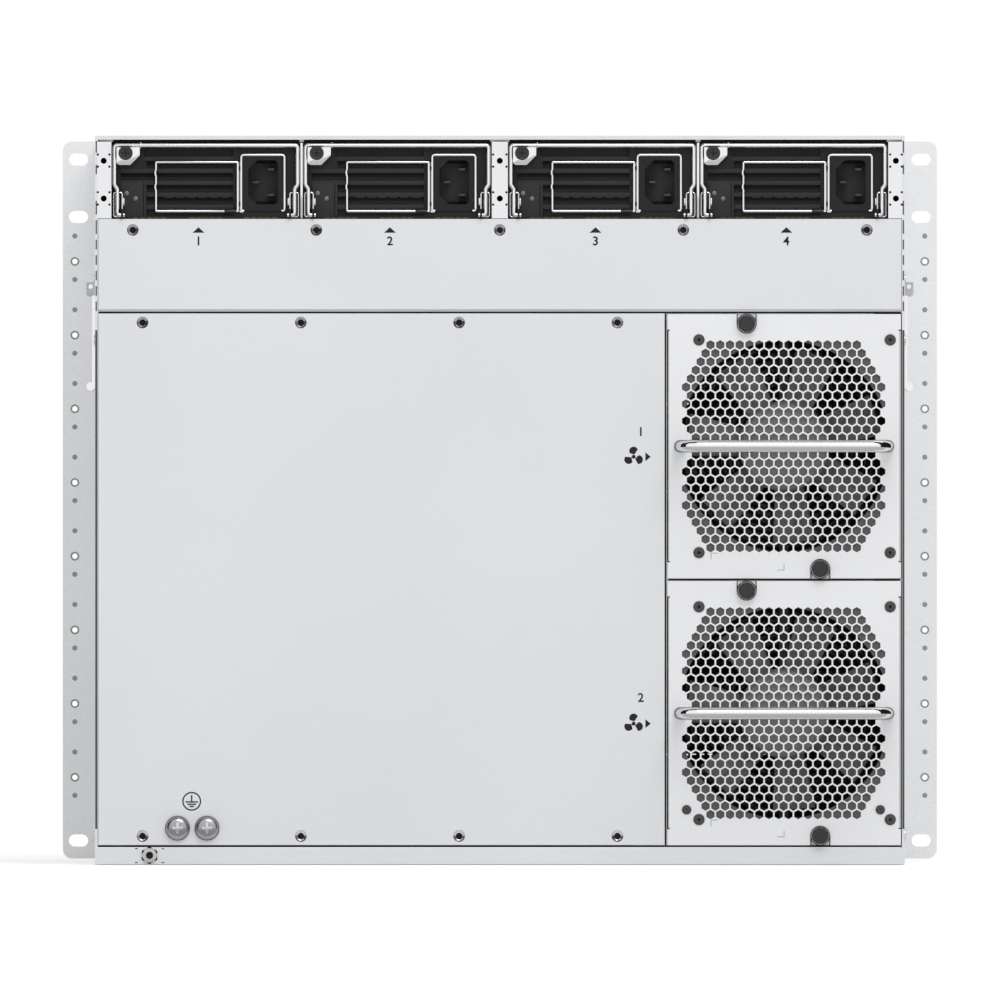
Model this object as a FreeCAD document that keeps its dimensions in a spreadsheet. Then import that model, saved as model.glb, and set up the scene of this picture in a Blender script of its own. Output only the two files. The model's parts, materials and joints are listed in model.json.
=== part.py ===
import FreeCAD, Part
import math
import os
import Sketcher

# A nine-unit modular switch chassis, seen in the photograph from its power and fan side.
# Origin: middle of the housing's underside. +X right, +Z up, -Y towards the power and fan side.

Vector = FreeCAD.Vector

# How far a cutter runs past the sheet that it cuts
CUT_PAST = 1
# Rows of slots in a supply's face: left end from its middle, then bottom and top from its underside
FACE_SLOTS = (
    (-33.8, 33.8, 37.8),
    (-32.4, 27.4, 31.2),
    (-46.5, 20.9, 24.6),
    (-32.4, 14.4, 18.1),
    (-32.4, 7.9, 11.7),
    (-32.4, 1.4, 5.0),
)
# Where a fan blade starts inside the hub, and how much it bows, as shares of the hub and of its width
BLADE_ROOT_REACH = 0.86
BLADE_BOW = 0.1

SIZES = {
    # Housing
    "body_width": 440.0,
    "body_depth": 420.0,
    "body_height": 395.8,
    "wall": 1.5,
    "cover_thickness": 2.1,
    "panel_thickness": 1.2,
    "frame_sheet": 1.2,
    "seat_gap": 0.3,
    "beam_height": 8.9,
    "beam_depth": 14.0,
    "wall_flange": 15.0,
    "apron_slot_width": 6.0,
    "apron_slot_height": 34.0,
    "apron_slot_pitch": 13.0,
    "apron_edge_margin": 14.0,
    # Rack ears
    "ear_reach": 21.3,
    "ear_thickness": 2.0,
    "ear_bend_radius": 4.3,
    "ear_setback": 2.0,
    "ear_side_length": 36.0,
    "ear_corner_radius": 5.0,
    "rack_slot_inset": 8.65,
    "rack_slot_length": 10.6,
    "rack_slot_height": 6.7,
    "rack_slot_margin": 9.9,
    "rack_slot_second_drop": 41.6,
    "ear_hole_inset": 6.65,
    "ear_hole_bore": 2.9,
    "ear_hole_low": 44.8,
    "ear_hole_drop": 66.17,
    "ear_hole_count": 8,
    # Main rear panel and power cover
    "panel_side_margin": 1.8,
    "rear_panel_bottom": 10.4,
    "rear_panel_gap": 0.3,
    "rear_hole_left_inset": 24.1,
    "rear_hole_right_inset": 25.6,
    "rear_hole_inset": 4.9,
    "power_cover_height": 49.2,
    "power_cover_gap": 1.9,
    "power_hole_inset": 18.8,
    "power_hole_drop": 6.0,
    "panel_hole": 3.3,
    "ground_screw_inset": 52.9,
    "ground_screw_pitch": 16.0,
    "ground_screw_height": 19.6,
    "ground_screw_head": 12.8,
    "ground_screw_shank": 6.0,
    "ground_washer": 11.6,
    "ground_washer_sheet": 0.9,
    "ground_screw_height_out": 4.4,
    "ground_screw_dome": 2.0,
    "ground_cross_span": 5.4,
    "ground_cross_width": 1.2,
    "driver_cross_depth": 1.8,
    "ground_screw_reach": 9.0,
    # Wrist strap jack
    "jack_inset": 29.7,
    "jack_height": 4.85,
    "jack_across_flats": 7.6,
    "jack_flange": 1.5,
    "jack_shank": 5.0,
    "jack_length": 9.0,
    "jack_bore": 4.0,
    # Power supply bay and supplies
    "power_bay_height": 45.2,
    "supply_play": 1.75,
    "supply_inner_play": 0.65,
    "supply_outer_play": 1.1,
    "supply_height": 40.6,
    "supply_depth": 236.5,
    "supply_recess": 3.0,
    "supply_face": 2.5,
    "bay_divider": 1.0,
    "centre_post_half": 4.35,
    "side_post_inset": 8.95,
    "post_hole_bore": 3.3,
    "post_hole_inset": 4.8,
    "post_hole_low_drop": 34.1,
    "post_hole_high_drop": 13.6,
    "bay_back_gap": 3.0,
    "bay_roof_depth": 16.0,
    "key_step_width": 14.6,
    "key_step_height": 12.0,
    "tongue_drop": 12.0,
    "board_thickness": 2.0,
    "socket_half": 18.0,
    "socket_low": 8.0,
    "bay_flange_height": 6.0,
    "socket_height": 14.0,
    "slot_recess": 1.8,
    # Supply inlet
    "inlet_left": 18.4,
    "slot_inlet_gap": 3.8,
    "inlet_width": 24.9,
    "inlet_low": 4.1,
    "inlet_height": 31.1,
    "inlet_proud": 0.8,
    "inlet_socket_left": 23.1,
    "inlet_socket_width": 16.0,
    "inlet_socket_low": 7.6,
    "inlet_socket_height": 24.0,
    "inlet_corner": 4.8,
    "inlet_depth": 17.0,
    "inlet_pin_width": 3.8,
    "inlet_pin_thickness": 1.3,
    "inlet_pin_length": 14.0,
    "inlet_pin_far": 35.2,
    "inlet_pin_near": 27.0,
    "inlet_pin_spread": 6.95,
    # Supply carry handle
    "bail_wire": 2.4,
    "bail_reach": 49.7,
    "bail_foot_reach": 48.1,
    "bail_pivot_rise": 1.9,
    "bail_top_rise": 39.7,
    "bail_jog_rise": 17.6,
    "bail_jog_slope": 2.2,
    "bail_lug_inset": 0.8,
    "bail_standoff": 2.7,
    "bail_foot_length": 3.9,
    "bail_lug_thickness": 1.2,
    "bail_lug_height": 5.2,
    "bail_lug_depth": 5.0,
    "tab_left": -49.0,
    "tab_right": -36.0,
    "tab_low": 29.0,
    "tab_thickness": 1.0,
    "tab_chamfer": 5.2,
    "tab_corner": 2.4,
    "tab_hole_play": 0.8,
    "tongue_inset": 0.6,
    "fit_clearance": 0.1,
    # Supply screw
    "latch_x": -43.7,
    "latch_rise": 35.5,
    "latch_head": 7.4,
    "latch_head_length": 3.6,
    "latch_shank": 3.6,
    "latch_hole_play": 1.2,
    "latch_bevel": 0.6,
    "latch_cross_span": 3.8,
    "latch_cross_width": 0.9,
    "screw_room": 1.5,
    "latch_collar": 5.2,
    # Supply cable clip
    "clip_wire": 1.3,
    "clip_hinge_x": 17.2,
    "clip_far_x": -27.2,
    "clip_low": 4.0,
    "clip_high": 30.6,
    "clip_standoff": 1.1,
    "clip_hook_low": 6.6,
    "clip_hook_high": 26.0,
    "clip_hook_height": 2.5,
    "clip_hook_wall": 0.5,
    # Fan trays
    "tray_width": 127.0,
    "tray_side_margin": 2.0,
    "tray_panel_gap": 1.5,
    "tray_between": 1.4,
    "tray_low_bottom": 10.3,
    "tray_top_play": 0.6,
    "tray_gap_sheet": 1.0,
    "fan_bay_depth": 60.0,
    "tray_shell_depth": 42.0,
    "vent_pitch": 13.25,
    "vent_web": 2.1,
    "vent_half_width": 55.7,
    "vent_margin": 14.2,
    "vent_shoulder_width": 42.4,
    "vent_shoulder_height": 32.0,
    "vent_foot_reach": 51.5,
    "vent_foot_height": 6.0,
    "thumb_upper_inset": 43.1,
    "thumb_lower_inset": 83.1,
    "thumb_inset": 5.2,
    "thumb_head": 10.2,
    "thumb_head_length": 5.0,
    "thumb_cap_proud": 0.8,
    "thumb_bevel": 0.6,
    "thumb_cap": 8.4,
    "thumb_shank": 4.0,
    "thumb_hole_play": 0.6,
    "thumb_reach": 5.0,
    "thumb_bracket_half": 9.0,
    "bracket_inset": 0.4,
    "thumb_bracket_height": 10.0,
    "rivet_left_inset": 17.2,
    "rivet_right_inset": 5.9,
    "rivet_inset": 14.0,
    "rivet_diameter": 6.2,
    "rivet_proud": 0.6,
    "rivet_sunk": 0.5,
    "grip_bar": 6.8,
    "grip_left_inset": 7.0,
    "grip_right_inset": 7.3,
    "grip_standoff": 34.0,
    "grip_bend": 10.0,
    # Fans
    "fan_square_margin": 23.6,
    "fan_depth": 38.0,
    "fan_duct_rim": 2.5,
    "fan_tip_gap": 3.5,
    "fan_hub": 49.0,
    "fan_hub_recess": 1.0,
    "fan_hub_bevel": 2.0,
    "fan_shaft_short": 0.4,
    "fan_hub_length": 27.0,
    "fan_spider": 3.0,
    "fan_arm_width": 5.0,
    "fan_shaft": 5.0,
    "fan_blades": 7,
    "fan_root_pitch": 42.0,
    "fan_tip_pitch": 26.0,
    "fan_root_chord": 19.0,
    "fan_tip_chord": 25.0,
    "fan_blade_thickness": 1.8,
    # Cards and their slots
    "slot_count": 6,
    "guide_depth": 6.0,
    "guide_sheet": 1.2,
    "guide_rise": 6.3,
    "card_board": 1.6,
    "card_front": 1.6,
    "card_gap": 0.4,
    "card_edge_gap": 0.5,
    "card_guide_grip": 4.0,
    "midplane_y": -70.0,
    "midplane_thickness": 3.0,
    "midplane_window": 12.0,
    "plug_inset": 70.0,
    "plug_play": 2.0,
    "board_short": 2.0,
    "board_lap": 0.5,
    "plug_depth": 11.0,
    "plug_height": 13.0,
    "port_inset": 70.0,
    "port_height": 14.0,
    "port_block_depth": 20.0,
    "blank_flange": 12.0,
    "lever_pivot_inset": 12.0,
    "lever_length": 62.0,
    "lever_width": 12.0,
    "lever_thickness": 4.0,
    "lever_pin": 3.0,
    "lever_standoff": 4.5,
    "lever_lug": 1.5,
    "lever_lug_half": 4.0,
    "lever_grip": 14.0,
    "lever_boss": 6.0,
    # Side handles
    "side_plate_drop": 74.8,
    "side_plate_height": 64.5,
    "side_plate_half": 65.0,
    "side_plate_sheet": 0.8,
    "side_pivot_x": 3.6,
    "side_pivot_inset": 6.5,
    "side_eye": 4.8,
    "side_pin": 2.4,
    "side_strap_half": 57.0,
    "side_strap_width": 8.0,
    "side_strap_sheet": 1.6,
    "side_grip_drop": 54.5,
    "side_grip": 4.8,
    "side_lug_width": 5.0,
}

doc = FreeCAD.newDocument("modular_chassis_switch")
sheet = doc.addObject("Spreadsheet::Sheet", "Sizes")
for row, (alias, number) in enumerate(SIZES.items(), start=1):
    sheet.set(f"A{row}", alias.replace("_", " "))
    sheet.set(f"B{row}", str(number))
    sheet.setAlias(f"B{row}", alias)
doc.recompute()


class Measure:
    """A size worked out from the sheet: its number now and the formula that keeps it true."""

    def __init__(self, number, formula):
        self.number = number
        self.formula = formula

    def joined(self, other, sign, number):
        return Measure(number, f"({self.formula} {sign} {other.formula})")

    def __add__(self, other):
        other = measure(other)
        return self.joined(other, "+", self.number + other.number)

    def __sub__(self, other):
        other = measure(other)
        return self.joined(other, "-", self.number - other.number)

    def __mul__(self, other):
        other = measure(other)
        return self.joined(other, "*", self.number * other.number)

    def __truediv__(self, other):
        other = measure(other)
        return self.joined(other, "/", self.number / other.number)

    def __radd__(self, other):
        return measure(other) + self

    def __rsub__(self, other):
        return measure(other) - self

    def __rmul__(self, other):
        return measure(other) * self

    def __neg__(self):
        return measure(0) - self

    def __float__(self):
        return self.number


def measure(value):
    if isinstance(value, Measure):
        return value
    return Measure(float(value), f"({float(value)})")


class Sheet:
    """Reads a cell by its alias."""

    def __getattr__(self, alias):
        return Measure(float(sheet.get(alias)), f"Sizes.{alias}")


S = Sheet()
NODES = []


def bind(thing, name, value):
    thing.setExpression(name, measure(value).formula)


def node(thing, label):
    """Keep a finished piece under the name that its file gets."""
    thing.Label = label
    NODES.append(thing)
    return thing


def block(name, x, y, z):
    """A box between two values along each axis."""
    box = doc.addObject("Part::Box", name)
    for axis, side, (low, high) in (("x", "Length", x), ("y", "Width", y), ("z", "Height", z)):
        bind(box, f"Placement.Base.{axis}", low)
        bind(box, side, measure(high) - low)
    return box


TURNS = {
    "x": FreeCAD.Rotation(Vector(0, 1, 0), 90),
    "y": FreeCAD.Rotation(Vector(1, 0, 0), -90),
    "z": FreeCAD.Rotation(),
}


def rod(name, axis, start, diameter, length):
    """A cylinder from a start point along +X, +Y or +Z."""
    cylinder = doc.addObject("Part::Cylinder", name)
    cylinder.Placement = FreeCAD.Placement(Vector(), TURNS[axis])
    for letter, place in zip("xyz", start):
        bind(cylinder, f"Placement.Base.{letter}", place)
    bind(cylinder, "Radius", measure(diameter) / 2)
    bind(cylinder, "Height", length)
    return cylinder


def fuse(name, pieces):
    union = doc.addObject("Part::MultiFuse", name)
    union.Shapes = pieces
    union.Refine = True
    return union


def cut(name, base, tools):
    difference = doc.addObject("Part::Cut", name)
    difference.Base = base
    difference.Tool = tools[0] if len(tools) == 1 else fuse(f"{name}_tools", tools)
    difference.Refine = True
    return difference


def group(name, pieces):
    """Separate solids that share one node."""
    compound = doc.addObject("Part::Compound", name)
    compound.Links = pieces
    return compound


def new_sketch(body, name, role):
    """An empty sketch on one of the body's own origin planes."""
    sketch = body.newObject("Sketcher::SketchObject", name)
    plane = next(f for f in body.Origin.OriginFeatures if f.Role == role)
    sketch.AttachmentSupport = [(plane, "")]
    sketch.MapMode = "FlatFace"
    return sketch


def place_point(sketch, index, end, across, up):
    """Tie one end of an edge, or a centre, to its place in the sketch."""
    for kind, axis_line, value in (("DistanceX", -2, across), ("DistanceY", -1, up)):
        value = measure(value)
        if abs(value.number) < 1e-9:
            sketch.addConstraint(Sketcher.Constraint("PointOnObject", index, end, axis_line))
        else:
            tie = sketch.addConstraint(Sketcher.Constraint(kind, -1, 1, index, end, value.number))
            sketch.setExpression(f"Constraints[{tie}]", value.formula)


def draw_outline(sketch, points):
    """A closed outline of straight edges, each corner tied to its place."""
    first = sketch.GeometryCount
    spots = [Vector(float(measure(a)), float(measure(b)), 0) for a, b in points]
    count = len(spots)
    for i, spot in enumerate(spots):
        sketch.addGeometry(Part.LineSegment(spot, spots[(i + 1) % count]), False)
    for i in range(count):
        following = first + (i + 1) % count
        sketch.addConstraint(Sketcher.Constraint("Coincident", first + i, 2, following, 1))
    for i, (across, up) in enumerate(points):
        place_point(sketch, first + i, 1, across, up)


def draw_circle(sketch, across, up, diameter):
    across, up, diameter = measure(across), measure(up), measure(diameter)
    centre = Vector(across.number, up.number, 0)
    circle = Part.Circle(centre, Vector(0, 0, 1), diameter.number / 2)
    index = sketch.addGeometry(circle, False)
    place_point(sketch, index, 3, across, up)
    tie = sketch.addConstraint(Sketcher.Constraint("Diameter", index, diameter.number))
    sketch.setExpression(f"Constraints[{tie}]", diameter.formula)


def padded(name, role, outline, circles, length, shift_axis, shift):
    """A flat piece: an outline with round holes, padded from an origin plane and moved along an axis."""
    body = doc.addObject("PartDesign::Body", name)
    sketch = new_sketch(body, f"{name}_outline", role)
    draw_outline(sketch, outline)
    for across, up, diameter in circles:
        draw_circle(sketch, across, up, diameter)
    doc.recompute()
    pad = body.newObject("PartDesign::Pad", f"{name}_pad")
    pad.Profile = sketch
    bind(pad, "Length", length)
    bind(body, f"Placement.Base.{shift_axis}", shift)
    doc.recompute()
    return body


def upright(name, outline, circles, front, thickness):
    """A sheet that stands in the XZ plane, its outer face at front and its thickness towards +Y."""
    return padded(name, "XZ_Plane", outline, circles, thickness, "y", front + thickness)


def rectangle(left, right, bottom, top):
    return [(left, bottom), (right, bottom), (right, top), (left, top)]


def turned(name, profile, x, z):
    """A piece turned about a line along Y: the profile holds radius and Y place."""
    body = doc.addObject("PartDesign::Body", name)
    sketch = new_sketch(body, f"{name}_profile", "XY_Plane")
    draw_outline(sketch, profile)
    doc.recompute()
    turn = body.newObject("PartDesign::Revolution", f"{name}_turn")
    turn.Profile = sketch
    turn.ReferenceAxis = (sketch, ["V_Axis"])
    turn.Angle = 360
    bind(body, "Placement.Base.x", x)
    bind(body, "Placement.Base.z", z)
    doc.recompute()
    return body


def soften(body, name, radius, chosen):
    """Round the edges of a body that a test picks."""
    base = body.Tip
    edges = [f"Edge{i}" for i, edge in enumerate(base.Shape.Edges, start=1) if chosen(edge)]
    fillet = body.newObject("PartDesign::Fillet", name)
    fillet.Base = (base, edges)
    bind(fillet, "Radius", radius)
    doc.recompute()


def bent_path(points, bend, closed):
    """Straight runs with an arc at each corner, or sharp corners where the bend is nothing."""
    if bend == 0:
        return Part.makePolygon(points + points[:1] if closed else points)
    count = len(points)
    corners = range(count) if closed else range(1, count - 1)
    arcs = {}
    for i in corners:
        here = points[i]
        back = (points[i - 1] - here).normalize()
        ahead = (points[(i + 1) % count] - here).normalize()
        half = back.getAngle(ahead) / 2
        trim = bend / math.tan(half)
        middle = (back + ahead).normalize()
        centre = here + middle * (bend / math.sin(half))
        arcs[i] = (here + back * trim, centre - middle * bend, here + ahead * trim)
    edges = []
    for i in range(count if closed else count - 1):
        j = (i + 1) % count
        start = arcs[i][2] if i in arcs else points[i]
        stop = arcs[j][0] if j in arcs else points[j]
        edges.append(Part.LineSegment(start, stop).toShape())
        if j in arcs:
            edges.append(Part.Arc(*arcs[j]).toShape())
    return Part.Wire(edges)


def wire_form(name, points, diameter, bend=0, closed=False):
    """A round bar or wire swept along straight runs, with bends or mitred corners."""
    path = bent_path([Vector(*(float(measure(v)) for v in p)) for p in points], float(bend), closed)
    spine = doc.addObject("Part::Feature", f"{name}_path")
    spine.Shape = path
    ring = doc.addObject("Part::Circle", f"{name}_section")
    bind(ring, "Radius", measure(diameter) / 2)
    first = path.Edges[0]
    heading = first.tangentAt(first.FirstParameter)
    ring.Placement = FreeCAD.Placement(path.Vertexes[0].Point, FreeCAD.Rotation(Vector(0, 0, 1), heading))
    sweep = doc.addObject("Part::Sweep", name)
    sweep.Sections = [ring]
    sweep.Spine = (spine, [f"Edge{i + 1}" for i in range(len(path.Edges))])
    sweep.Solid = True
    sweep.Transition = "Round corner" if bend else "Right corner"
    return sweep


# Places that several pieces share
half = S.body_width / 2
inner = half - S.wall
rear = -(S.body_depth / 2)
front = S.body_depth / 2
cover_under = S.body_height - S.cover_thickness
panel_back = rear + S.panel_thickness
frame_face = panel_back + S.frame_sheet + S.seat_gap
power_cover_top = S.body_height - S.power_bay_height
power_cover_bottom = power_cover_top - S.power_cover_height
partition_height = power_cover_bottom - S.power_cover_gap
partition_top = partition_height + S.frame_sheet
slot_pitch = (partition_height - S.beam_height) / S.slot_count
midplane_front = S.midplane_y + S.midplane_thickness
supply_face = rear + S.supply_recess
supply_back = supply_face + S.supply_depth
bay_back = supply_back + S.bay_back_gap
supply_bottom = power_cover_top + S.seat_gap
side_post_inner = half - S.side_post_inset
bay_divider_x = (S.centre_post_half + side_post_inner) / 2
supply_width = bay_divider_x - S.centre_post_half - S.supply_play
supply_inner_centre = S.centre_post_half + supply_width / 2 + S.supply_inner_play
supply_outer_centre = bay_divider_x + supply_width / 2 + S.supply_outer_play
bay_roof = cover_under - S.frame_sheet
tray_right = half - S.tray_side_margin
tray_left = tray_right - S.tray_width
tray_middle_x = (tray_left + tray_right) / 2
tray_pitch = (partition_height - S.tray_low_bottom - S.tray_top_play + S.tray_between) / 2
tray_height = tray_pitch - S.tray_between
panel_half = half - S.panel_side_margin
rear_panel_right = tray_left - S.tray_panel_gap
rear_panel_top = partition_height - S.rear_panel_gap
ear_edge = half + S.ear_reach
fan_square = tray_height - S.fan_square_margin
fan_duct = fan_square - 2 * S.fan_duct_rim
fan_rotor = fan_duct - 2 * S.fan_tip_gap
side_pivot_z = S.body_height - S.side_plate_drop - S.side_pivot_inset
side_grip_z = side_pivot_z - S.side_grip_drop
ground_screw_x = -(half - S.ground_screw_inset)
plug_half = half - S.plug_inset
port_half = half - S.port_inset
jack_x = -(half - S.jack_inset)


# Base pan: floor with a folded box edge along the back and the front
def make_base_pan():
    floor = block("base_floor", (-inner, inner), (rear, front), (0, S.wall))
    pieces = [floor]
    for name, lip, shelf in (
        ("rear", (rear, rear + S.wall), (rear, rear + S.beam_depth)),
        ("front", (front - S.wall, front), (front - S.beam_depth, front)),
    ):
        pieces.append(block(f"base_{name}_lip", (-inner, inner), lip, (0, S.beam_height)))
        fold = (S.beam_height - S.wall, S.beam_height)
        pieces.append(block(f"base_{name}_fold", (-inner, inner), shelf, fold))
    pan = fuse("base_folded", pieces)
    start = (jack_x, rear - CUT_PAST, S.jack_height)
    hole = rod("base_jack_hole", "y", start, S.jack_shank, S.wall + 2 * CUT_PAST)
    return node(cut("base_pan_cut", pan, [hole]), "base_pan")


# Side wall with a folded back edge and a pair of pressed rails for each card slot. On the tray side
# the fold stops above the trays, so that they slide past it.
def make_side_wall(name, side):
    def span(low, high):
        return (low, high) if side > 0 else (-high, -low)

    pieces = [block(f"{name}_skin", span(inner, half), (rear, front), (0, cover_under))]
    flange_y = (panel_back, panel_back + S.wall)
    flange_low = partition_top if side > 0 else S.beam_height
    flange_z = (flange_low, power_cover_top - S.frame_sheet)
    pieces.append(block(f"{name}_flange", span(inner - S.wall_flange, inner), flange_y, flange_z))
    rail_y = (midplane_front, front - S.card_front - S.seat_gap)
    spacing = S.card_board + 2 * S.seat_gap
    for slot in range(int(float(S.slot_count))):
        low = S.beam_height + slot_pitch * slot + S.guide_rise
        for rail, bottom in enumerate((low - S.guide_sheet, low + spacing)):
            rail_z = (bottom, bottom + S.guide_sheet)
            rail_x = span(inner - S.guide_depth, inner)
            pieces.append(block(f"{name}_rail_{slot}_{rail}", rail_x, rail_y, rail_z))
    return node(fuse(f"{name}_folded", pieces), name)


# Top cover: the lid folds down over the front of the power compartment, with air slots there
def make_top_cover():
    lid = block("cover_lid", (-half, half), (rear, front), (cover_under, S.body_height))
    apron_half = inner - S.seat_gap
    apron_low = partition_top + S.seat_gap
    apron_z = (apron_low, cover_under + 1)
    apron = block("cover_apron", (-apron_half, apron_half), (front - S.wall, front), apron_z)
    slots = []
    count = int(float((inner - S.apron_edge_margin) * 2 / S.apron_slot_pitch))
    for i in range(count):
        middle = S.apron_slot_pitch * (i - (count - 1) / 2)
        reach = (middle - S.apron_slot_width / 2, middle + S.apron_slot_width / 2)
        low = (apron_low + cover_under - S.apron_slot_height) / 2
        tall = (low, low + S.apron_slot_height)
        slots.append(block(f"cover_slot_{i}", reach, (front - S.wall - CUT_PAST, front + CUT_PAST), tall))
    return node(cut("cover_cut", fuse("cover_folded", [lid, apron]), slots), "top_cover")


# Rear frame: the shelf over the cards, the wall and shelf round the fan trays, and their flanges
def make_rear_frame():
    wall_start = rear_panel_right + S.fit_clearance
    sheet_x = (wall_start, wall_start + S.frame_sheet)
    wall_x, wall_right = sheet_x
    deep = rear + S.fan_bay_depth
    low_shelf = S.beam_height + S.frame_sheet
    gap_middle = S.tray_low_bottom + (tray_height + tray_pitch) / 2
    gap_z = (gap_middle - S.tray_gap_sheet / 2, gap_middle + S.tray_gap_sheet / 2)
    screw_y = (frame_face, frame_face + S.frame_sheet)
    flange_y = (panel_back, panel_back + S.frame_sheet)
    depth = S.thumb_bracket_height
    top_z = (partition_height, partition_top)
    tray_x = (wall_right, inner - S.wall_flange)
    lip_back = panel_back + S.wall
    pieces = [
        block("frame_partition", (-inner, inner), (lip_back, front - S.wall - S.seat_gap), top_z),
        block("frame_partition_lip", (-inner + S.wall_flange, inner), (panel_back, lip_back), top_z),
        block("frame_fan_wall", sheet_x, (panel_back, deep), (low_shelf, partition_height)),
        block("frame_fan_shelf", (wall_right, inner), (frame_face, deep), gap_z),
        block("frame_low_shelf", (wall_x, inner), (frame_face, deep), (S.beam_height, low_shelf)),
        block("frame_up_flange", (-inner + S.wall_flange, inner - S.wall_flange), flange_y,
              (partition_top, partition_top + depth)),
        block("frame_down_flange", (-inner + S.wall_flange, wall_right), flange_y,
              (partition_height - depth, partition_height)),
        block("frame_side_flange", (wall_x - S.wall_flange, wall_right), flange_y,
              (low_shelf, partition_height)),
        block("frame_top_tray_flange", tray_x, screw_y, (partition_height - depth, partition_height)),
        block("frame_over_flange", tray_x, screw_y, (gap_z[1], gap_z[1] + depth)),
        block("frame_under_flange", tray_x, screw_y, (gap_z[0] - depth, gap_z[0])),
        block("frame_low_flange", tray_x, screw_y, (low_shelf, low_shelf + depth)),
    ]
    holes = []
    for number in (1, 2):
        for place, x, z in thumb_places(number):
            start = (x, frame_face - CUT_PAST, z)
            bore = S.thumb_shank + 4 * S.fit_clearance
            through = S.frame_sheet + 2 * CUT_PAST
            holes.append(rod(f"frame_hole_{number}_{place}", "y", start, bore, through))
    return node(cut("rear_frame_cut", fuse("rear_frame_folded", pieces), holes), "rear_frame")


# Main rear panel and power cover, with their screw holes
def make_rear_panel():
    low = S.rear_panel_bottom + S.rear_hole_inset
    high = rear_panel_top - S.rear_hole_inset
    first = S.rear_hole_left_inset - panel_half
    pitch = (rear_panel_right - S.rear_hole_right_inset - first) / 3
    places = [(first + pitch * i, z) for z in (low, high) for i in range(4)]
    circles = [(x, z, S.panel_hole) for x, z in places]
    for side in (-1, 1):
        x = ground_screw_x + S.ground_screw_pitch / 2 * side
        circles.append((x, S.ground_screw_height, S.ground_screw_shank + 2 * S.fit_clearance))
    outline = rectangle(-panel_half, rear_panel_right, S.rear_panel_bottom, rear_panel_top)
    return node(upright("rear_panel_sheet", outline, circles, rear, S.panel_thickness), "rear_panel")


def make_power_cover():
    z = power_cover_top - S.power_hole_drop
    pitch = (panel_half - S.power_hole_inset) / 2
    circles = [(pitch * i, z, S.panel_hole) for i in range(-2, 3)]
    outline = rectangle(-panel_half, panel_half, power_cover_bottom, power_cover_top)
    return node(upright("power_cover_sheet", outline, circles, rear, S.panel_thickness), "power_cover")


# Rack ear: an angle folded from sheet, with slots for the rack and a column of round holes
def make_ear(name, side):
    face = front - S.ear_setback
    tail = face - S.ear_side_length
    thick = S.ear_thickness
    outline = [
        (side * half, tail), (side * (half + thick), tail), (side * (half + thick), face - thick),
        (side * ear_edge, face - thick), (side * ear_edge, face), (side * half, face),
    ]
    body = padded(f"{name}_sheet", "XY_Plane", outline, [], S.body_height, "z", 0)
    soften(body, f"{name}_outer_bend", S.ear_bend_radius, upright_edge_at(side * half, face))
    inside = upright_edge_at(side * (half + thick), face - thick)
    soften(body, f"{name}_inner_bend", S.ear_bend_radius - thick, inside)
    soften(body, f"{name}_corners", S.ear_corner_radius, level_edge_at(side * ear_edge))
    through = (face - thick - CUT_PAST, face + CUT_PAST)
    tools = []
    slot_x = side * (ear_edge - S.rack_slot_inset)
    second = S.body_height - S.rack_slot_second_drop
    heights = (S.rack_slot_margin, second, S.body_height - S.rack_slot_margin)
    for i, z in enumerate(heights):
        tools.append(slot_tool(f"{name}_slot_{i}", slot_x, z, through))
    pitch = (S.body_height - S.ear_hole_low - S.ear_hole_drop) / (S.ear_hole_count - 1)
    for i in range(int(float(S.ear_hole_count))):
        start = (side * (ear_edge - S.ear_hole_inset), through[0], S.ear_hole_low + pitch * i)
        tools.append(rod(f"{name}_hole_{i}", "y", start, S.ear_hole_bore, thick + 2 * CUT_PAST))
    return node(cut(f"{name}_cut", body, tools), name)


def upright_edge_at(x, y):
    """Picks the straight upright edge at one place in plan."""
    def chosen(edge):
        box = edge.BoundBox
        thin = box.XLength < 0.01 and box.YLength < 0.01
        return thin and abs(box.XMin - float(x)) < 0.01 and abs(box.YMin - float(y)) < 0.01
    return chosen


def level_edge_at(x):
    """Picks the short edges through the sheet at its free side."""
    def chosen(edge):
        box = edge.BoundBox
        along = box.YLength > 1 and box.XLength < 0.01 and box.ZLength < 0.01
        return along and abs(box.XMin - float(x)) < 0.01
    return chosen


def slot_tool(name, x, z, reach):
    """A slot with round ends, lying along X."""
    straight = (S.rack_slot_length - S.rack_slot_height) / 2
    high = S.rack_slot_height / 2
    pieces = [block(f"{name}_straight", (x - straight, x + straight), reach, (z - high, z + high))]
    for end, shift in (("left", -straight), ("right", straight)):
        start = (x + shift, reach[0], z)
        pieces.append(rod(f"{name}_{end}", "y", start, S.rack_slot_height, reach[1] - reach[0]))
    return fuse(name, pieces)


# Wrist strap jack: a hexagonal flange and a shank through the base edge, bored for the plug
def make_jack():
    flange = doc.addObject("Part::Prism", "jack_flange")
    flange.Polygon = 6
    flange.Placement = FreeCAD.Placement(Vector(), TURNS["y"])
    bind(flange, "Circumradius", S.jack_across_flats / math.sqrt(3))
    bind(flange, "Height", S.jack_flange)
    for axis, value in (("x", jack_x), ("y", rear - S.jack_flange), ("z", S.jack_height)):
        bind(flange, f"Placement.Base.{axis}", value)
    shank_start = (jack_x, rear - S.jack_flange / 2, S.jack_height)
    shank = rod("jack_shank_rod", "y", shank_start, S.jack_shank, S.jack_length - S.jack_flange / 2)
    bore_start = (jack_x, rear - S.jack_flange - CUT_PAST, S.jack_height)
    bore = rod("jack_bore_rod", "y", bore_start, S.jack_bore, S.jack_length)
    return node(cut("jack_cut", fuse("jack_solid", [flange, shank]), [bore]), "wrist_strap_jack")


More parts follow.
